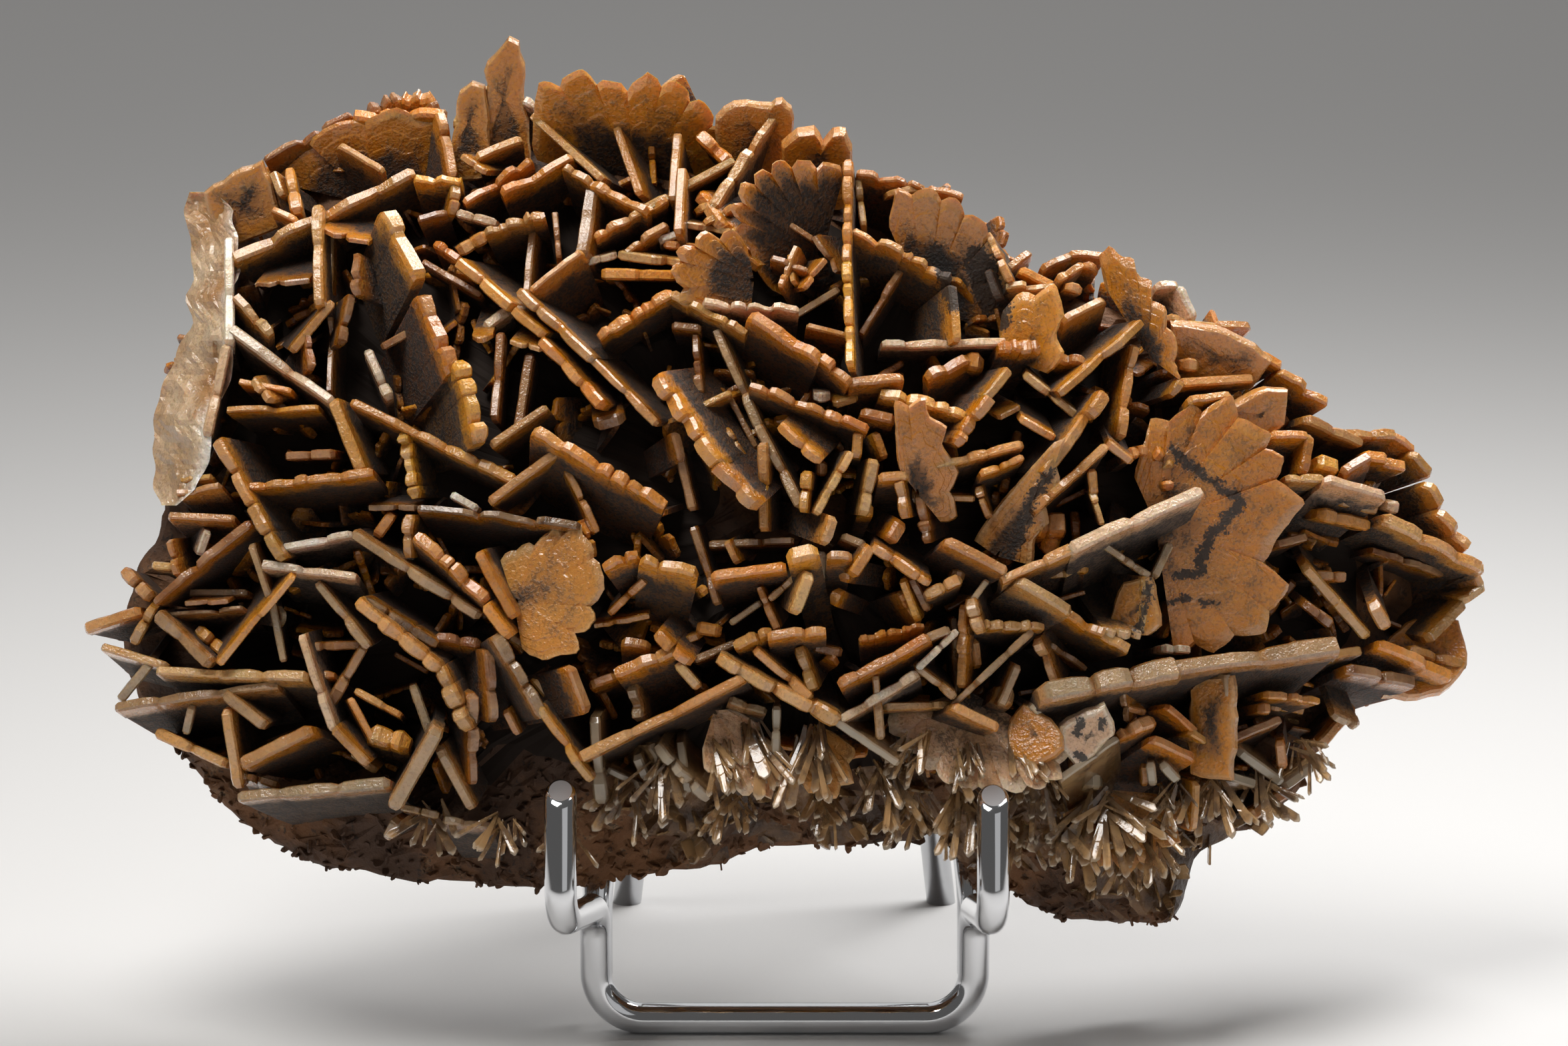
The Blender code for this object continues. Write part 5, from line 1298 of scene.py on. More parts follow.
def fan(shape, row, rng):
    """Lobes that fan out from a root, each a thin ridge that laps over the next."""
    thickness, deeper, slope_x, slope_z, lap, tone, dark, point, root, spots = row
    root = Vector(root)
    columns, lobes = fan_columns(root, [Vector(spot) for spot in spots], point, rng)
    middle = sum((spot for spot, lobe, height in columns), Vector((0.0, 0.0))) / len(columns)
    depth = face_depth(*middle) + deeper
    tint = varied(tone, rng, FACE_TINT)
    tints = [jittered(tint, rng, LOBE_TINT) for _ in range(lobes)]
    lifts = [rng.uniform(*LOBE_LIFT) for _ in range(lobes)]
    steps = [rng.uniform(-LOBE_STEP, LOBE_STEP) for _ in range(lobes)]
    points, deep, tones = [], [], []
    for side in (0.0, 1.0):
        for share, thick, proud in FAN_ROWS:
            for spot, lobe, height in columns:
                out = share if share in (FAN_ROWS[0][0], 1.0) else share + steps[lobe] * share
                x, z = root + (spot - root) * out
                rise = slope_x * (x - middle.x) + slope_z * (z - middle.y)
                ridge = lap * lifts[lobe] * height * share ** 3
                ripple = FAN_RIPPLE * noise.noise(Vector((x * 0.9, z * 0.9, lobe * 3.0)))
                level = depth + rise - ridge - proud + ripple
                layer = thickness * (1.0 - thick) * 0.5 + side * thickness * thick
                points.append(spread(x, z, level + layer))
                # Painted shade: inside the dark share the depth is raised so the shader darkens the fan
                # there.
                shade = min(0.4 * (1.0 - share) * (spot - root).length, LIT_DEPTH)
                if share <= dark:
                    shade = LIT_DEPTH + FAN_ROOT_SHADE * dark * min(1.0, 2.0 * (1.0 - share / dark))
                deep.append(shade)
                tones.append(tints[lobe])
    shape.add(points, layered_faces(len(FAN_ROWS), len(columns)), tones, deep)


def wall(shape, rng):
    """The broken, lumpy wall at the left end, whose front ridge is nearest."""
    points, deep, tones = [], [], []
    for back in (0.0, 1.0):
        for row in range(WALL_ROWS):
            place = row / (WALL_ROWS - 1) * (len(WALL) - 1)
            low = min(int(place), len(WALL) - 2)
            z, left, right = between(WALL[low], WALL[low + 1], place - low)
            for column in range(WALL_COLUMNS):
                share = column / (WALL_COLUMNS - 1)
                x = left + (right - left) * share
                broad = noise.noise(Vector((x * 0.16, z * 0.14, 4.0)))
                lump = 2.6 * broad * (1.0 - back) + 1.1 * noise.noise(Vector((x * 0.7, z * 0.35, 9.0)))
                crag = 0.7 * noise.noise(Vector((x * 1.6, z * 1.1, 6.0)))
                wander = 1.2 * noise.noise(Vector((z * 0.3, share * 0.8, 1.0)))
                depth = face_depth(x, z) + WALL_DEPTH + WALL_SLOPE * (right - x) + lump + crag
                points.append(spread(x + wander, z, depth + back * WALL_THICKNESS))
                deep.append(0.35 + 0.3 * broad)
                dark = min(1.0, max(0.0, 0.35 + 1.6 * noise.noise(Vector((x * 0.28, z * 0.2, 2.0)))))
                # Towards the front ridge the colour turns paler, with a painted highlight.
                edge = max(0.0, share - WALL_RIDGE_FROM) / (1.0 - WALL_RIDGE_FROM)
                tone = between(between(WALL_TONE, WALL_SHADE, dark), WALL_RIDGE_PALE_AND_HIGHLIGHT, edge)
                tones.append(jittered(tone, rng, WALL_TINT))
    shape.add(points, layered_faces(WALL_ROWS, WALL_COLUMNS), tones, deep)


def small_blade(shape, row, rng):
    """One small crystal seen on its rim, which leans as chance has it."""
    thickness, tone = row[4:]
    start, run, length, middle = rim_line(row, SMALL_DEPTH * rng.uniform(*SMALL_DEPTHS))
    way, reach = root_direction(middle, run, rng.uniform(-SMALL_LEAN, SMALL_LEAN))
    across = run.cross(way).normalized()
    lobes = 1 if length < SMALL_LOBED else 2
    size = (length, reach, thickness)
    add_blade(shape, (start, run, way, across), size, lobes, varied(tone, rng), rng)


def fine_outline():
    """The matrix outline, rounded and cut finer."""
    spots = []
    count = len(MATRIX_OUTLINE)
    for i in range(count):
        p0, p1, p2, p3 = (Vector(MATRIX_OUTLINE[(i + k - 1) % count]) for k in range(4))
        for step in range(OUTLINE_STEPS):
            t = step / OUTLINE_STEPS
            spots.append(0.5 * (2 * p1 + (p2 - p0) * t + (2 * p0 - 5 * p1 + 4 * p2 - p3) * t * t
                                + (3 * p1 - p0 - 3 * p2 + p3) * t ** 3))
    return spots


def rough(point, strength):
    """Moves a point of the matrix by large and small unevenness."""
    move = Vector()
    for size, amount in ROUGHNESS:
        move += Vector([noise.noise(point / size + Vector(apart)) for apart in NOISE_APART]) * amount
    return point + move * strength


def matrix_shape():
    """The rough lump of matrix, and which of its faces are front, foot and back."""
    spots = fine_outline()
    middle = Vector(MATRIX_MIDDLE)
    points, faces = [], []
    reaches = [(math.sin(math.pi * 0.5 * (i + 1) / FRONT_RINGS), True) for i in range(FRONT_RINGS)]
    reaches += [(math.cos(math.pi * 0.5 * (i + 1) / (BACK_RINGS + 1)), False) for i in range(BACK_RINGS)]
    for reach, front in reaches:
        for spot in spots:
            x, z = middle + (spot - middle) * reach
            depth = matrix_depths(x, z, reach)[0 if front else 1]
            points.append(rough(spread(x, z, depth), 1.0 if reach < NEAR_RIM else RIM_ROUGH))
    count = len(spots)
    for ring in range(len(reaches) - 1):
        for i in range(count):
            j = (i + 1) % count
            one, two = ring * count, (ring + 1) * count
            faces.append((one + i, one + j, two + j, two + i))
    last = (len(reaches) - 1) * count
    faces.append(tuple(range(count))[::-1])
    faces.append(tuple(last + i for i in range(count)))
    return points, faces


def mesh_of(points, faces, name):
    """A mesh from points of the face frame."""
    mesh = bpy.data.meshes.new(name)
    mesh.from_pydata([world(lean(p)) for p in points], [], faces)
    outwards(mesh)
    return mesh


def linked(name, mesh, mat=None):
    """An object in the scene, with its material as the first slot."""
    obj = bpy.data.objects.new(name, mesh)
    bpy.context.scene.collection.objects.link(obj)
    if mat:
        mesh.materials.append(mat)
    return obj


def local_crystal(name, length, reach, thickness, lobes, tone, rng):
    """A crystal on its own, in metres, that stands on the origin along +z: Geometry Nodes repeat it."""
    shape = Shape()
    start = Vector((-length * 0.5, 0.0, reach))
    run, way, across = Vector((1, 0, 0)), Vector((0, 0, -1)), Vector((0, 1, 0))
    add_blade(shape, (start, run, way, across), (length, reach + ROOT_BELOW, thickness), lobes,
              varied(tone, rng), rng)
    turn = Vector((CENTRE_X, CENTRE_Y, FLOOR_Z))
    back = Matrix.Rotation(LEAN, 3, "X")
    shape.points = [back @ (p / MM + turn) * MM for p in shape.points]
    # Painted shade: the fillers' depth is raised so that the shader darkens them.
    shape.deep = [d + FILLER_SHADE for d in shape.deep]
    shape.at = [OFF_THE_FACE] * len(shape.points)
    mesh = shape.build(name)
    return bpy.data.objects.new(name, mesh)


def crystal_kinds(name, rows, rng):
    """A collection of crystals for Geometry Nodes to pick from."""
    kinds = bpy.data.collections.new(name)
    for index, (length, reach, thickness, lobes, tone) in enumerate(rows):
        kinds.objects.link(local_crystal(f"{name}_{index}", length, reach, thickness, lobes, tone, rng))
    return kinds


def scatter_tree():
    """Geometry Nodes: crystals picked from a collection stand on the faces at random tilts."""
    tree = bpy.data.node_groups.new("crystal_growth", "GeometryNodeTree")
    for name, kind, value in GROWTH_INPUTS:
        item = tree.interface.new_socket(name, in_out="INPUT", socket_type=f"NodeSocket{kind}")
        if value is not None:
            item.default_value = value
    tree.interface.new_socket("Geometry", in_out="OUTPUT", socket_type="NodeSocketGeometry")

    def add(kind, inputs=None, **settings):
        """Adds a node with its settings and its inputs' values or links, and gives its outputs."""
        node = tree.nodes.new(kind)
        for key, value in settings.items():
            setattr(node, key, value)
        for key, value in (inputs or {}).items():
            if isinstance(value, bpy.types.NodeSocket):
                tree.links.new(value, node.inputs[key])
            else:
                node.inputs[key].default_value = value
        return node.outputs

    given = add("NodeGroupInput")
    seed = given["Seed"]
    points = add("GeometryNodeDistributePointsOnFaces",
                 {"Mesh": given["Geometry"], "Density": given["Density"], "Seed": seed})
    kinds = add("GeometryNodeCollectionInfo",
                {"Collection": given["Crystals"], "Separate Children": True, "Reset Children": True})
    size = add("FunctionNodeRandomValue",
               {2: given["Smallest"], 3: given["Largest"], "Seed": seed}, data_type="FLOAT")
    minus = add("ShaderNodeMath", {0: given["Tilt"], 1: -1.0}, operation="MULTIPLY")
    low = add("ShaderNodeCombineXYZ", {"X": minus[0], "Y": minus[0], "Z": -math.pi})
    high = add("ShaderNodeCombineXYZ", {"X": given["Tilt"], "Y": given["Tilt"], "Z": math.pi})
    tilt = add("FunctionNodeRandomValue", {0: low[0], 1: high[0], "Seed": seed}, data_type="FLOAT_VECTOR")
    angle = add("FunctionNodeEulerToRotation", {0: tilt[0]})
    turned = add("FunctionNodeRotateRotation", {"Rotation": points["Rotation"], "Rotate By": angle[0]},
                 rotation_space="LOCAL")
    copies = add("GeometryNodeInstanceOnPoints", {
        "Points": points["Points"], "Instance": kinds[0], "Pick Instance": True,
        "Rotation": turned[0], "Scale": size[1],
    })
    real = add("GeometryNodeRealizeInstances", {"Geometry": copies["Instances"]})
    dress = add("GeometryNodeSetMaterial", {"Geometry": real["Geometry"], "Material": given["Material"]})
    add("NodeGroupOutput", {"Geometry": dress["Geometry"]})
    return tree


def grown(name, carrier, tree, settings, mat):
    """The crystals that a growth tree puts on a carrier mesh, as a plain mesh object."""
    host = linked(name, carrier)
    growth = host.modifiers.new("growth", "NODES")
    growth.node_group = tree
    for item in tree.interface.items_tree:
        if item.in_out == "INPUT" and item.name in settings:
            growth[item.identifier] = settings[item.name]
    bpy.context.view_layer.update()
    ready = host.evaluated_get(bpy.context.evaluated_depsgraph_get())
    mesh = bpy.data.meshes.new_from_object(ready)
    host.modifiers.remove(growth)
    host.data = mesh
    mesh.name = name
    if not mesh.materials:
        mesh.materials.append(mat)
    return host


class Socket:
    """A shader value. Python's operators on it add Math nodes to its tree."""

    def __init__(self, tree, out):
        self.tree = tree
        self.out = out

    def math(self, operation, *others, clamp=False):
        node = self.tree.nodes.new("ShaderNodeMath")
        node.operation = operation
        node.use_clamp = clamp
        for socket, value in zip(node.inputs, (self,) + others):
            feed(self.tree, socket, value)
        return Socket(self.tree, node.outputs[0])

    def __add__(self, other):
        return self.math("ADD", other)

    def __radd__(self, other):
        return self.math("ADD", other)

    def __sub__(self, other):
        return self.math("SUBTRACT", other)

    def __rsub__(self, other):
        return (self * -1.0) + other

    def __mul__(self, other):
        return self.math("MULTIPLY", other)

    def __rmul__(self, other):
        return self.math("MULTIPLY", other)

    def __truediv__(self, other):
        return self.math("DIVIDE", other)

    def least(self, other):
        return self.math("MINIMUM", other)

    def most(self, other):
        return self.math("MAXIMUM", other)

    def clamped(self):
        return self.math("ADD", 0.0, clamp=True)

    def root(self):
        return self.math("SQRT")

    def smooth(self, low, high):
        """0 below low, 1 above high, smooth between."""
        node = self.tree.nodes.new("ShaderNodeMapRange")
        node.interpolation_type = "SMOOTHSTEP"
        feed(self.tree, node.inputs["Value"], self)
        node.inputs["From Min"].default_value = low
        node.inputs["From Max"].default_value = high
        return Socket(self.tree, node.outputs["Result"])


def feed(tree, socket, value):
    """Gives a shader input its link, colour or number."""
    if isinstance(value, Socket):
        tree.links.new(value.out, socket)
    elif isinstance(value, tuple) and len(value) == 3 and socket.type == "RGBA":
        socket.default_value = (*value, 1.0)
    else:
        socket.default_value = value


class Look:
    """A material under construction: its tree and the values that its nodes give."""

    def __init__(self, name):
        self.mat = bpy.data.materials.new(name)
        self.mat.use_nodes = True
        self.tree = self.mat.node_tree
        self.shader = self.tree.nodes["Principled BSDF"]
        self.place = self.node("ShaderNodeTexCoord", "Object")

    def node(self, kind, out, inputs=None, **settings):
        """Adds any node and gives one of its outputs."""
        node = self.tree.nodes.new(kind)
        for key, value in settings.items():
            setattr(node, key, value)
        for key, value in (inputs or {}).items():
            feed(self.tree, node.inputs[key], value)
        return Socket(self.tree, node.outputs[out])

    def attribute(self, name, out):
        return self.node("ShaderNodeAttribute", out, attribute_name=name)

    def noise(self, scale, detail=3.0, rough=0.55):
        inputs = {"Vector": self.place, "Scale": scale, "Detail": detail, "Roughness": rough}
        return self.node("ShaderNodeTexNoise", 0, inputs)

    def mix(self, one, two, factor):
        """Between two colours."""
        node = self.tree.nodes.new("ShaderNodeMix")
        node.data_type = "RGBA"
        feed(self.tree, node.inputs["Factor"], factor)
        feed(self.tree, node.inputs[6], one)
        feed(self.tree, node.inputs[7], two)
        return Socket(self.tree, node.outputs[2])

    def bump(self, height, strength, distance):
        inputs = {"Height": height, "Strength": strength, "Distance": distance}
        self.set("Normal", self.node("ShaderNodeBump", "Normal", inputs))

    def set(self, name, value):
        feed(self.tree, self.shader.inputs[name], value)


def segment_distance(px, pz, a, b):
    """Distance on the face from the point (px, pz) to the segment from a to b."""
    dx, dz = b[0] - a[0], b[1] - a[1]
    square = dx * dx + dz * dz
    along = (((px - a[0]) * dx + (pz - a[1]) * dz) / square).clamped()
    qx = px - a[0] - along * dx
    qz = pz - a[1] - along * dz
    return (qx * qx + qz * qz).root()


def barite_look():
    """Translucent honey-orange crystal: pale rim with a painted highlight, painted glow, painted shade and
    dust at its root.
    """
    look = Look("barite")
    tone = look.attribute("tone", "Color")
    deep = look.attribute("deep", "Fac")
    coarse = look.noise(190.0, 4.0)
    grain = look.noise(620.0, 5.0)
    fine = look.noise(2600.0, 2.0)
    # Depth from the rim with noise: it places the painted shade and the dust.
    shade_and_dust_depth = deep + (coarse - 0.5) * 5.0 + (grain - 0.5) * 1.6
    rim = 1.0 - deep.smooth(0.05, 0.55)
    root = shade_and_dust_depth.smooth(0.6, 3.9)
    dust = (fine * 0.62 + grain * 0.38 + root * 0.06).smooth(0.545, 0.59) * shade_and_dust_depth.smooth(0.7, 4.0)
    # Painted glow: amber just inside the rim stands in for light shining through the thin edge.
    body = look.mix(tone, PAINTED_AMBER_GLOW, deep.smooth(0.2, 0.6) * (1.0 - deep.smooth(2.0, 4.0)) * 0.45)
    body = look.mix(body, ROOT_SHADE_AND_SPECK_COLOUR, (fine * 0.6 + grain * 0.4).smooth(0.48, 0.62) * 0.36)
    body = look.mix(body, GRAIN_COLOUR, grain.smooth(0.35, 0.75) * 0.12)
    # Painted highlight on the rim, over the rim's own paler colour.
    body = look.mix(body, RIM_PALE_AND_HIGHLIGHT_COLOUR, rim * (coarse.smooth(0.35, 0.65) * 0.3 + 0.08))
    # Painted shade towards the root, where the crystals crowd into the recesses.
    body = look.mix(body, ROOT_SHADE_AND_SPECK_COLOUR, root * 0.93)
    body = look.mix(body, DUST_COLOUR, dust * 0.8)
    at = look.node("ShaderNodeSeparateXYZ", "X", {"Vector": look.attribute("at", "Vector")})
    px, pz = (Socket(look.tree, at.out.node.outputs[axis]) for axis in ("X", "Y"))
    near = None
    for width, line in DUST_LINES:
        for a, b in zip(line, line[1:]):
            away = segment_distance(px, pz, a, b) - width
            near = away if near is None else near.least(away)
    ragged = near + (grain - 0.5) * 2.8 + (fine - 0.5) * 2.2
    patch = (1.0 - ragged.smooth(*PATCH_EDGE)) * PATCH_SHARE
    look.set("Base Color", look.mix(body, DUST_COLOUR, patch))
    # Rougher and with less coat under the painted root shade and the dust.
    root_shade_and_dust = root.most(patch)
    look.set("Roughness", grain * 0.26 + root_shade_and_dust * 0.55 + 0.06)
    look.set("Coat Weight", (1.0 - root_shade_and_dust) * 0.45)
    look.set("Coat Roughness", 0.08)
    look.set("Subsurface Weight", 0.3)
    look.set("Subsurface Radius", SCATTER)
    look.set("Subsurface Scale", SCATTER_DEPTH)
    look.set("IOR", BARITE_IOR)
    look.bump(grain * 0.5 + fine * 0.6 + dust * 0.5, 0.7, 0.0004)
    return look.mat


def glassy_look():
    """Almost colourless crystal at the foot: light goes through it and is absorbed a little. Painted shade
    darkens it towards its root.
    """
    look = Look("glassy_barite")
    deep = look.attribute("deep", "Fac")
    grain = look.noise(500.0, 4.0)
    coarse = look.noise(150.0, 2.0)
    cloud = (grain * 0.5 + coarse * 0.5).smooth(0.42, 0.60)
    tint = look.mix(GLASS_WARM, GLASS_CLOUD, cloud)
    tint = look.mix(GLASS_RIM, tint, deep.smooth(0.0, 0.7) * 0.75 + 0.15)
    # Painted shade: darker towards the root.
    tint = look.mix(tint, GLASS_ROOT_SHADE, deep.smooth(2.0, 7.0) * 0.8)
    look.set("Base Color", tint)
    look.set("Roughness", grain * 0.2 + 0.02)
    look.set("Transmission Weight", 0.6)
    look.set("IOR", BARITE_IOR)
    look.bump(grain, 0.3, 0.0002)
    return look.mat


def matrix_look():
    """Dark brown iron-rich rock with rusty and pale patches."""
    look = Look("matrix")
    coarse = look.noise(70.0, 6.0, 0.6)
    grain = look.noise(420.0, 6.0, 0.65)
    fine = look.noise(1900.0, 3.0)
    body = look.mix(ROCK_DARK, ROCK_RUST, coarse.smooth(0.40, 0.62))
    body = look.mix(body, ROCK_PALE, (grain * 0.6 + coarse * 0.4).smooth(0.56, 0.66) * 0.75)
    body = look.mix(body, DUST_COLOUR, (fine * 0.5 + grain * 0.5).smooth(0.56, 0.62) * 0.7)
    look.set("Base Color", body)
    look.set("Roughness", grain * 0.3 + 0.6)
    look.bump(grain * 0.7 + fine * 0.3, 0.8, 0.0008)
    return look.mat


def crust_look():
    """Brown, half clear crust at the foot, between the almost colourless crystals."""
    look = Look("crust")
    coarse = look.noise(110.0, 5.0, 0.6)
    grain = look.noise(520.0, 5.0, 0.6)
    body = look.mix(CRUST_DARK, CRUST_BROWN, coarse.smooth(0.40, 0.62))
    body = look.mix(body, CRUST_PALE, (grain * 0.6 + coarse * 0.4).smooth(0.54, 0.64) * 0.5)
    look.set("Base Color", body)
    look.set("Roughness", grain * 0.4 + 0.12)
    look.bump(grain * 0.7 + coarse * 0.3, 0.9, 0.0009)
    return look.mat


def plain_look(name, colour, roughness, metallic=0.0):
    """A material of one colour."""
    look = Look(name)
    look.set("Base Color", colour)
    look.set("Roughness", roughness)
    look.set("Metallic", metallic)
    return look.mat


def route(corners, bends):
    """A centre line through corners, each rounded by its bend radius."""
    points = [corners[0]]
    for before, corner, after, radius in zip(corners, corners[1:], corners[2:], bends):
        a = (before - corner).normalized()
        b = (after - corner).normalized()
        half = a.angle(b) * 0.5
        setback = radius / math.tan(half)
        centre = corner + (a + b).normalized() * (radius / math.sin(half))
        first = corner + a * setback - centre
        last = corner + b * setback - centre
        axis = first.cross(last).normalized()
        sweep = first.angle(last)
        for step in range(BEND_STEPS + 1):
            turn = Matrix.Rotation(sweep * step / BEND_STEPS, 3, axis)
            points.append(centre + turn @ first)
    points.append(corners[-1])
    return points


def rounded_ends(points):
    """The centre line with short steps at its cut ends, and the wire's radius at each point."""
    full = WIRE * 0.5
    first = (points[1] - points[0]).normalized()
    last = (points[-2] - points[-1]).normalized()
    line = [points[0] + first * s for s, share in TIP_ROUNDING] + points[1:-1]
    line += [points[-1] + last * s for s, share in reversed(TIP_ROUNDING)]
    radii = [full * share for s, share in TIP_ROUNDING] + [full] * (len(points) - 2)
    radii += [full * share for s, share in reversed(TIP_ROUNDING)]
    return line, radii


def wire_mesh(points, name, floor_ends=False, slanted=False):
    """A smooth round wire along points. Its cut ends are rounded, and may slant, or stand on the floor."""
    radii = [WIRE * 0.5] * len(points)
    if not floor_ends:
        points, radii = rounded_ends(points)
    ways = [(b - a).normalized() for a, b in zip(points, points[1:])]
    seed = Vector((0.0, 1.0, 0.3))
    down = (seed - ways[0] * seed.dot(ways[0])).normalized()
    rings, places = [], []
    for i, point in enumerate(points):
        before = ways[max(0, i - 1)]
        after = ways[min(i, len(ways) - 1)]
        way = (before + after).normalized()
        if i > 1:
            down = ways[i - 2].rotation_difference(before) @ down
        side = before.cross(down)
        stop = way
        if floor_ends and i in (0, len(points) - 1):
            stop = Vector((0.0, 0.0, 1.0))
        elif slanted and not TIP_RINGS <= i < len(points) - TIP_RINGS:
            stop = Vector((0.0, -math.sin(TIP_SLANT), math.cos(TIP_SLANT)))
        ring = []
        for k in range(WIRE_SIDES):
            angle = 2.0 * math.pi * k / WIRE_SIDES
            spot = point + (down * math.cos(angle) + side * math.sin(angle)) * radii[i]
            along = before if i else after
            slide = (point - spot).dot(stop) / along.dot(stop)
            ring.append(len(places))
            places.append(world(spot + along * slide))
        rings.append(ring)
    faces = []
    for one, two in zip(rings, rings[1:]):
        for k in range(WIRE_SIDES):
            j = (k + 1) % WIRE_SIDES
            faces.append((one[k], one[j], two[j], two[k]))
    faces += [tuple(rings[0][::-1]), tuple(rings[-1])]
    mesh = bpy.data.meshes.new(name)
    mesh.from_pydata(places, [], faces)
    outwards(mesh)
    for face in mesh.polygons:
        face.use_smooth = len(face.vertices) == 4
        face.material_index = 0 if face.use_smooth else 1
    return mesh


def bar_point(x):
    """Where the front floor bar passes x on the face, straight below the elbows."""
    elbow = lean(spread(x, ARM_Z, ELBOW_DEPTH))
    depth = ELBOW_DEPTH
    for _ in range(20):
        low = lean(spread(x, BAR_Z, depth))
        depth += elbow.y - low.y
    return lean(spread(x, BAR_Z, depth))


def easel():
    """The three bent wires' centre lines: front, backrest and strut."""
    halves = []
    for prong_x, top, elbow_x in zip(PRONG_X, PRONG_TOP, ELBOW_X):
        hook = spread(prong_x, ARM_Z, PRONG_DEPTH)
        tip = spread(prong_x, top, PRONG_DEPTH)
        elbow = spread(elbow_x, 0.0, ELBOW_DEPTH)
        elbow.z = hook.z
        tip.x = hook.x
        low = bar_point(elbow_x)
        low.x = elbow.x
        halves.append([lean(tip), lean(hook), lean(elbow), low])
    bar = bar_point(0.0).z
    for half in halves:
        half[3].z = bar
        half[3].y = half[2].y
    corners = halves[0] + halves[1][::-1]
    front = route(corners, (HOOK_BEND, ELBOW_BEND, BAR_BEND, BAR_BEND, ELBOW_BEND, HOOK_BEND))
    behind = WIRE + WELD_GAP
    feet, knees = [], []
    for half in halves:
        leg = half[3]
        feet.append(Vector((leg.x, leg.y + behind, BACKREST_FOOT_Z)))
        knees.append(Vector((leg.x, leg.y + behind, half[2].z + KNEE_RISE)))
    ends = (-BACKREST_TOP_X, BACKREST_TOP_X)
    tops = [lean(Vector((x, BACKREST_TOP_DEPTH, BACKREST_RISE))) for x in ends]
    back = route([feet[0], knees[0], tops[0], tops[1], knees[1], feet[1]],
                 (KNEE_BEND, TOP_BEND, TOP_BEND, KNEE_BEND))
    foot = Vector((STRUT_FOOT_X, STRUT_FOOT_Y, FLOOR_Z))
    top = Vector((STRUT_TOP_X, tops[0].y + behind, tops[0].z))
    mirror = Vector((-1.0, 1.0, 1.0))
    strut = route([foot * mirror, top * mirror, top, foot], (STRUT_BEND, STRUT_BEND))
    return front, back, strut


def soft_light(name, place, size, power, colour):
    """An area light that points at the specimen."""
    lamp = bpy.data.lights.new(name, "AREA")
    lamp.size = size
    lamp.energy = power
    lamp.color = colour
    obj = bpy.data.objects.new(name, lamp)
    obj.location = place
    obj.rotation_euler = (Vector(LIT_PLACE) - Vector(place)).to_track_quat("-Z", "Y").to_euler()
    bpy.context.scene.collection.objects.link(obj)


def studio():
    """Camera, soft lights and a plain floor."""
    scene = bpy.context.scene
    data = bpy.data.cameras.new("camera")
    data.sensor_width = SENSOR
    data.lens = SENSOR * VIEW / FRAME_WIDTH
    data.clip_start = NEAR_CLIP
    data.clip_end = FAR_CLIP
    camera = bpy.data.objects.new("camera", data)
    camera.location = world(lean(Vector((0.0, -VIEW, SIGHT[1]))))
    camera.rotation_euler = (math.radians(90.0) - LEAN, 0.0, 0.0)
    scene.collection.objects.link(camera)
    scene.camera = camera
    for light in LIGHTS:
        soft_light(*light)
    back = bpy.data.worlds.new("studio")
    back.use_nodes = True
    shade = back.node_tree.nodes["Background"]
    shade.inputs["Color"].default_value = WORLD_COLOUR
    shade.inputs["Strength"].default_value = WORLD_STRENGTH
    scene.world = back
    bm = bmesh.new()
    bmesh.ops.create_circle(bm, cap_ends=True, segments=FLOOR_SIDES, radius=FLOOR_RADIUS)
    mesh = bpy.data.meshes.new("floor")
    bm.to_mesh(mesh)
    bm.free()
    floor = linked("floor", mesh, plain_look("floor", FLOOR_COLOUR, FLOOR_ROUGHNESS))
    scene.view_settings.view_transform = "Standard"
    scene.view_settings.look = "None"


def carriers(points, faces):
    """Faces of the matrix on which crystals grow: its front, its foot, the druse there, and its back."""
    groups = {"front": [], "foot": [], "druse": [], "back": []}
    for face in faces:
        if len(face) > 4:
            continue
        corners = [points[i] for i in face]
        centre = sum(corners, Vector()) / 4
        normal = (corners[2] - corners[0]).cross(corners[3] - corners[1]).normalized()
        if normal.dot(centre - Vector(HEART)) < 0:
            normal = -normal
        x, z = read(centre)
        pale = DRUSE_LEFT < x < DRUSE_RIGHT and (z > EDGE_TOP or x > LOBE_LEFT)
        if normal.y > BACK_FACING:
            groups["back"].append(face)
        elif z < DRUSE_TOP or (normal.z < UNDER_FACING and z < UNDER_TOP):
            groups["druse" if pale and normal.z > DRUSE_FACING else "foot"].append(face)
        elif x > BARE_LEFT:
            groups["front"].append(face)
    return groups


def inner(points, face):
    """True for a face of the matrix that is well within its outline, where the crystals shade it."""
    return outline_reach(*read(sum((points[i] for i in face), Vector()) / len(face))) < RECESS_REACH


def at_foot(row):
    """True for a pale crystal of the tables that stands among the almost colourless ones."""
    x, z, tone = (row[0] + row[2]) * 0.5, (row[1] + row[3]) * 0.5, row[-1]
    return tone in "pgw" and z < CLEAR_TOP and x > CLEAR_LEFT


def crystals(rng):
    """The crystals that were read one by one: a mesh of the brown ones and one of the clear ones."""
    shape, clear = Shape(), Shape()
    for row in BLADES:
        blade(clear if at_foot(row) else shape, row, rng)
    for row in PLATES:
        plate(shape, row, rng)
    for row in FANS + PALE_FANS:
        fan(shape, row, rng)
    for row in SPRAYS:
        spray(clear, row, rng)
    wall(shape, rng)
    for row in SMALL:
        small_blade(clear if at_foot(row) else shape, row, rng)
    return shape.build("crystals"), clear.build("clear_crystals")


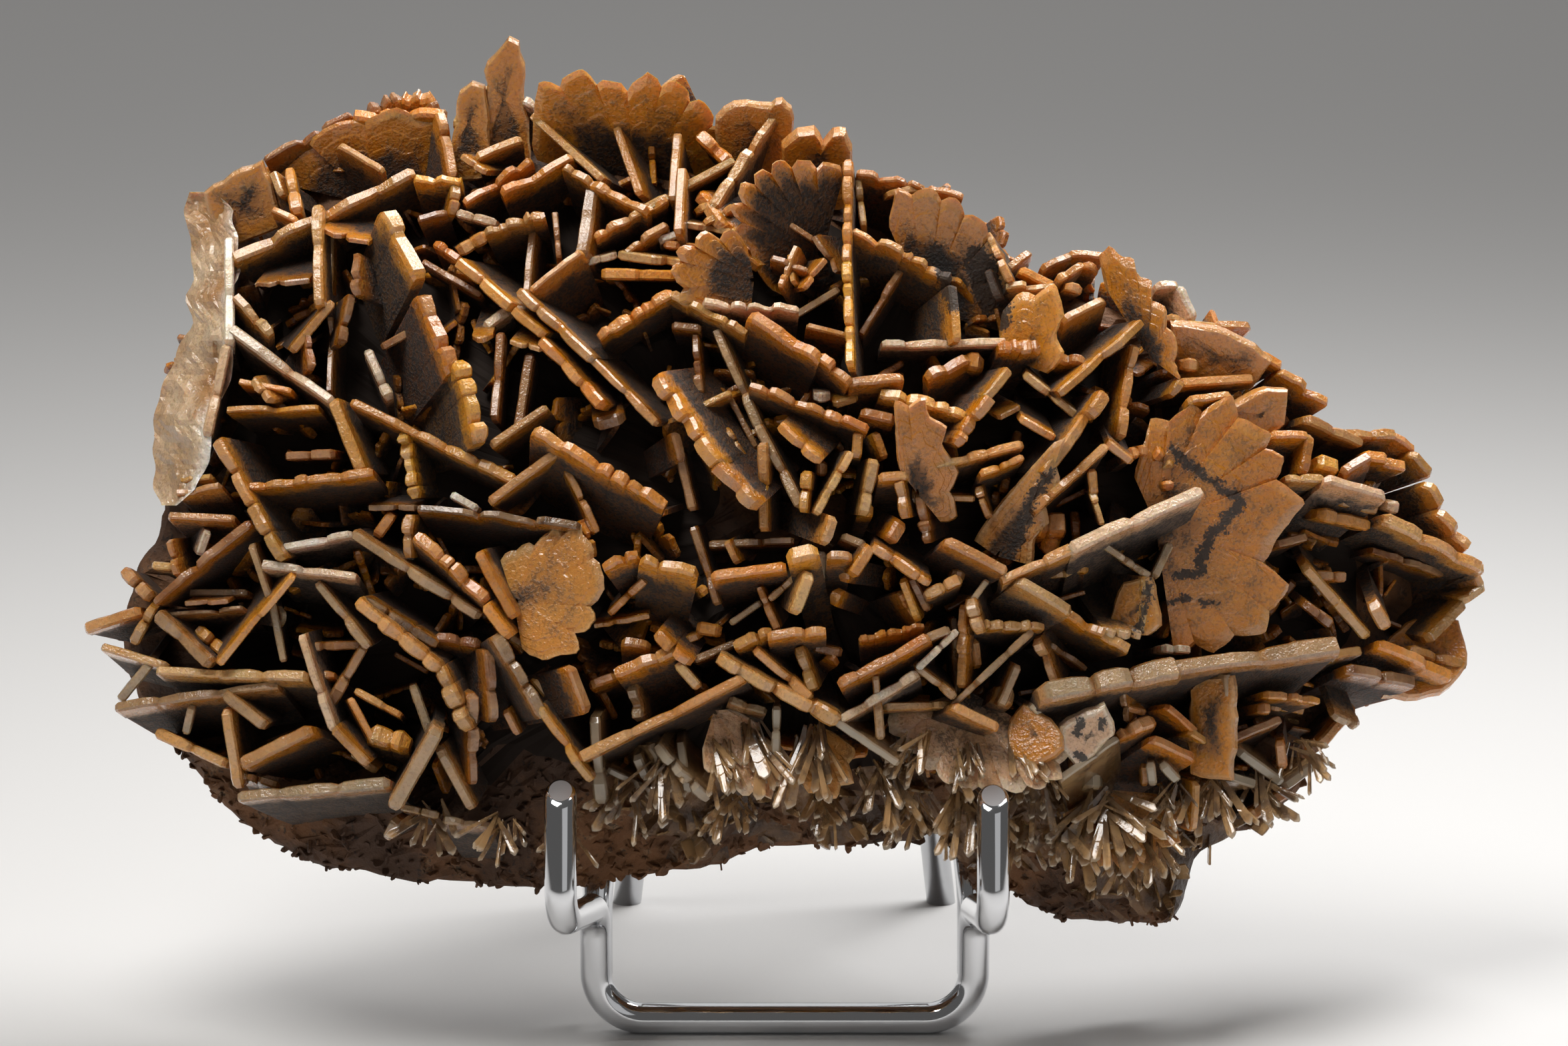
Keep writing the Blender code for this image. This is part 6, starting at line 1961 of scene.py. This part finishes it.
def main():
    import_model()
    rng = random.Random(SEED)
    barite = barite_look()
    glassy = glassy_look()
    rock = matrix_look()
    # A near-black material of painted shade for the matrix between the crystals.
    painted_recess_shade = plain_look("painted_recess_shade", RECESS_SHADE_COLOUR, RECESS_ROUGHNESS)
    brown, clear = crystals(rng)
    pieces = [linked("crystals", brown, barite), linked("clear_crystals", clear, glassy)]
    points, faces = matrix_shape()
    groups = carriers(points, faces)
    lump = mesh_of(points, faces, "matrix")
    pieces.append(linked("matrix", lump, rock))
    lump.materials.append(painted_recess_shade)
    lump.materials.append(crust_look())
    # Faces well inside the front get the painted shade, the druse faces get the crust.
    covers = {tuple(sorted(face)): 1 for face in groups["front"] if inner(points, face)}
    covers.update({tuple(sorted(face)): 2 for face in groups["druse"]})
    for face in lump.polygons:
        face.material_index = covers.get(tuple(sorted(face.vertices)), 0)
    filler = crystal_kinds("filler", FILLER_KINDS, rng)
    druse = crystal_kinds("druse", DRUSE_KINDS, rng)
    grit = crystal_kinds("grit", GRIT_KINDS, rng)
    tree = scatter_tree()
    growths = (
        ("filler", "front", filler, FILLER_DENSITY, FILLER_SEED, 0.55, 1.15, 0.75, barite),
        ("druse", "druse", druse, DRUSE_DENSITY, DRUSE_SEED, 0.25, 0.62, 1.1, glassy),
        ("grit", "foot", grit, GRIT_DENSITY, GRIT_SEED, 0.25, 0.6, 1.3, rock),
        ("back_crystals", "back", filler, BACK_DENSITY, BACK_SEED, 0.2, 0.5, 1.1, barite),
    )
    for name, group, kinds, density, seed, smallest, largest, tilt, mat in growths:
        settings = {
            "Crystals": kinds, "Density": density * SQUARE_CM, "Seed": seed,
            "Smallest": smallest, "Largest": largest, "Tilt": tilt, "Material": mat,
        }
        pieces.append(grown(name, mesh_of(points, groups[group], name), tree, settings, mat))
    for piece in pieces:
        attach(piece, "root")
        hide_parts("barite_specimen")
    chrome = plain_look("chrome", CHROME_COLOUR, CHROME_ROUGHNESS, 1.0)
    sawn = plain_look("sawn_wire", SAWN_COLOUR, SAWN_ROUGHNESS, 1.0)
    front, back, strut = easel()
    wires = (
        ("front_wire", front, False, True),
        ("backrest_wire", back, False, False),
        ("strut_wire", strut, True, False),
    )
    for name, line, floor_ends, slanted in wires:
        wire = linked(f"smooth_{name}", wire_mesh(line, name, floor_ends, slanted), chrome)
        wire.data.materials.append(sawn)
        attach(wire, "root")
        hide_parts(name)
    studio()


main()
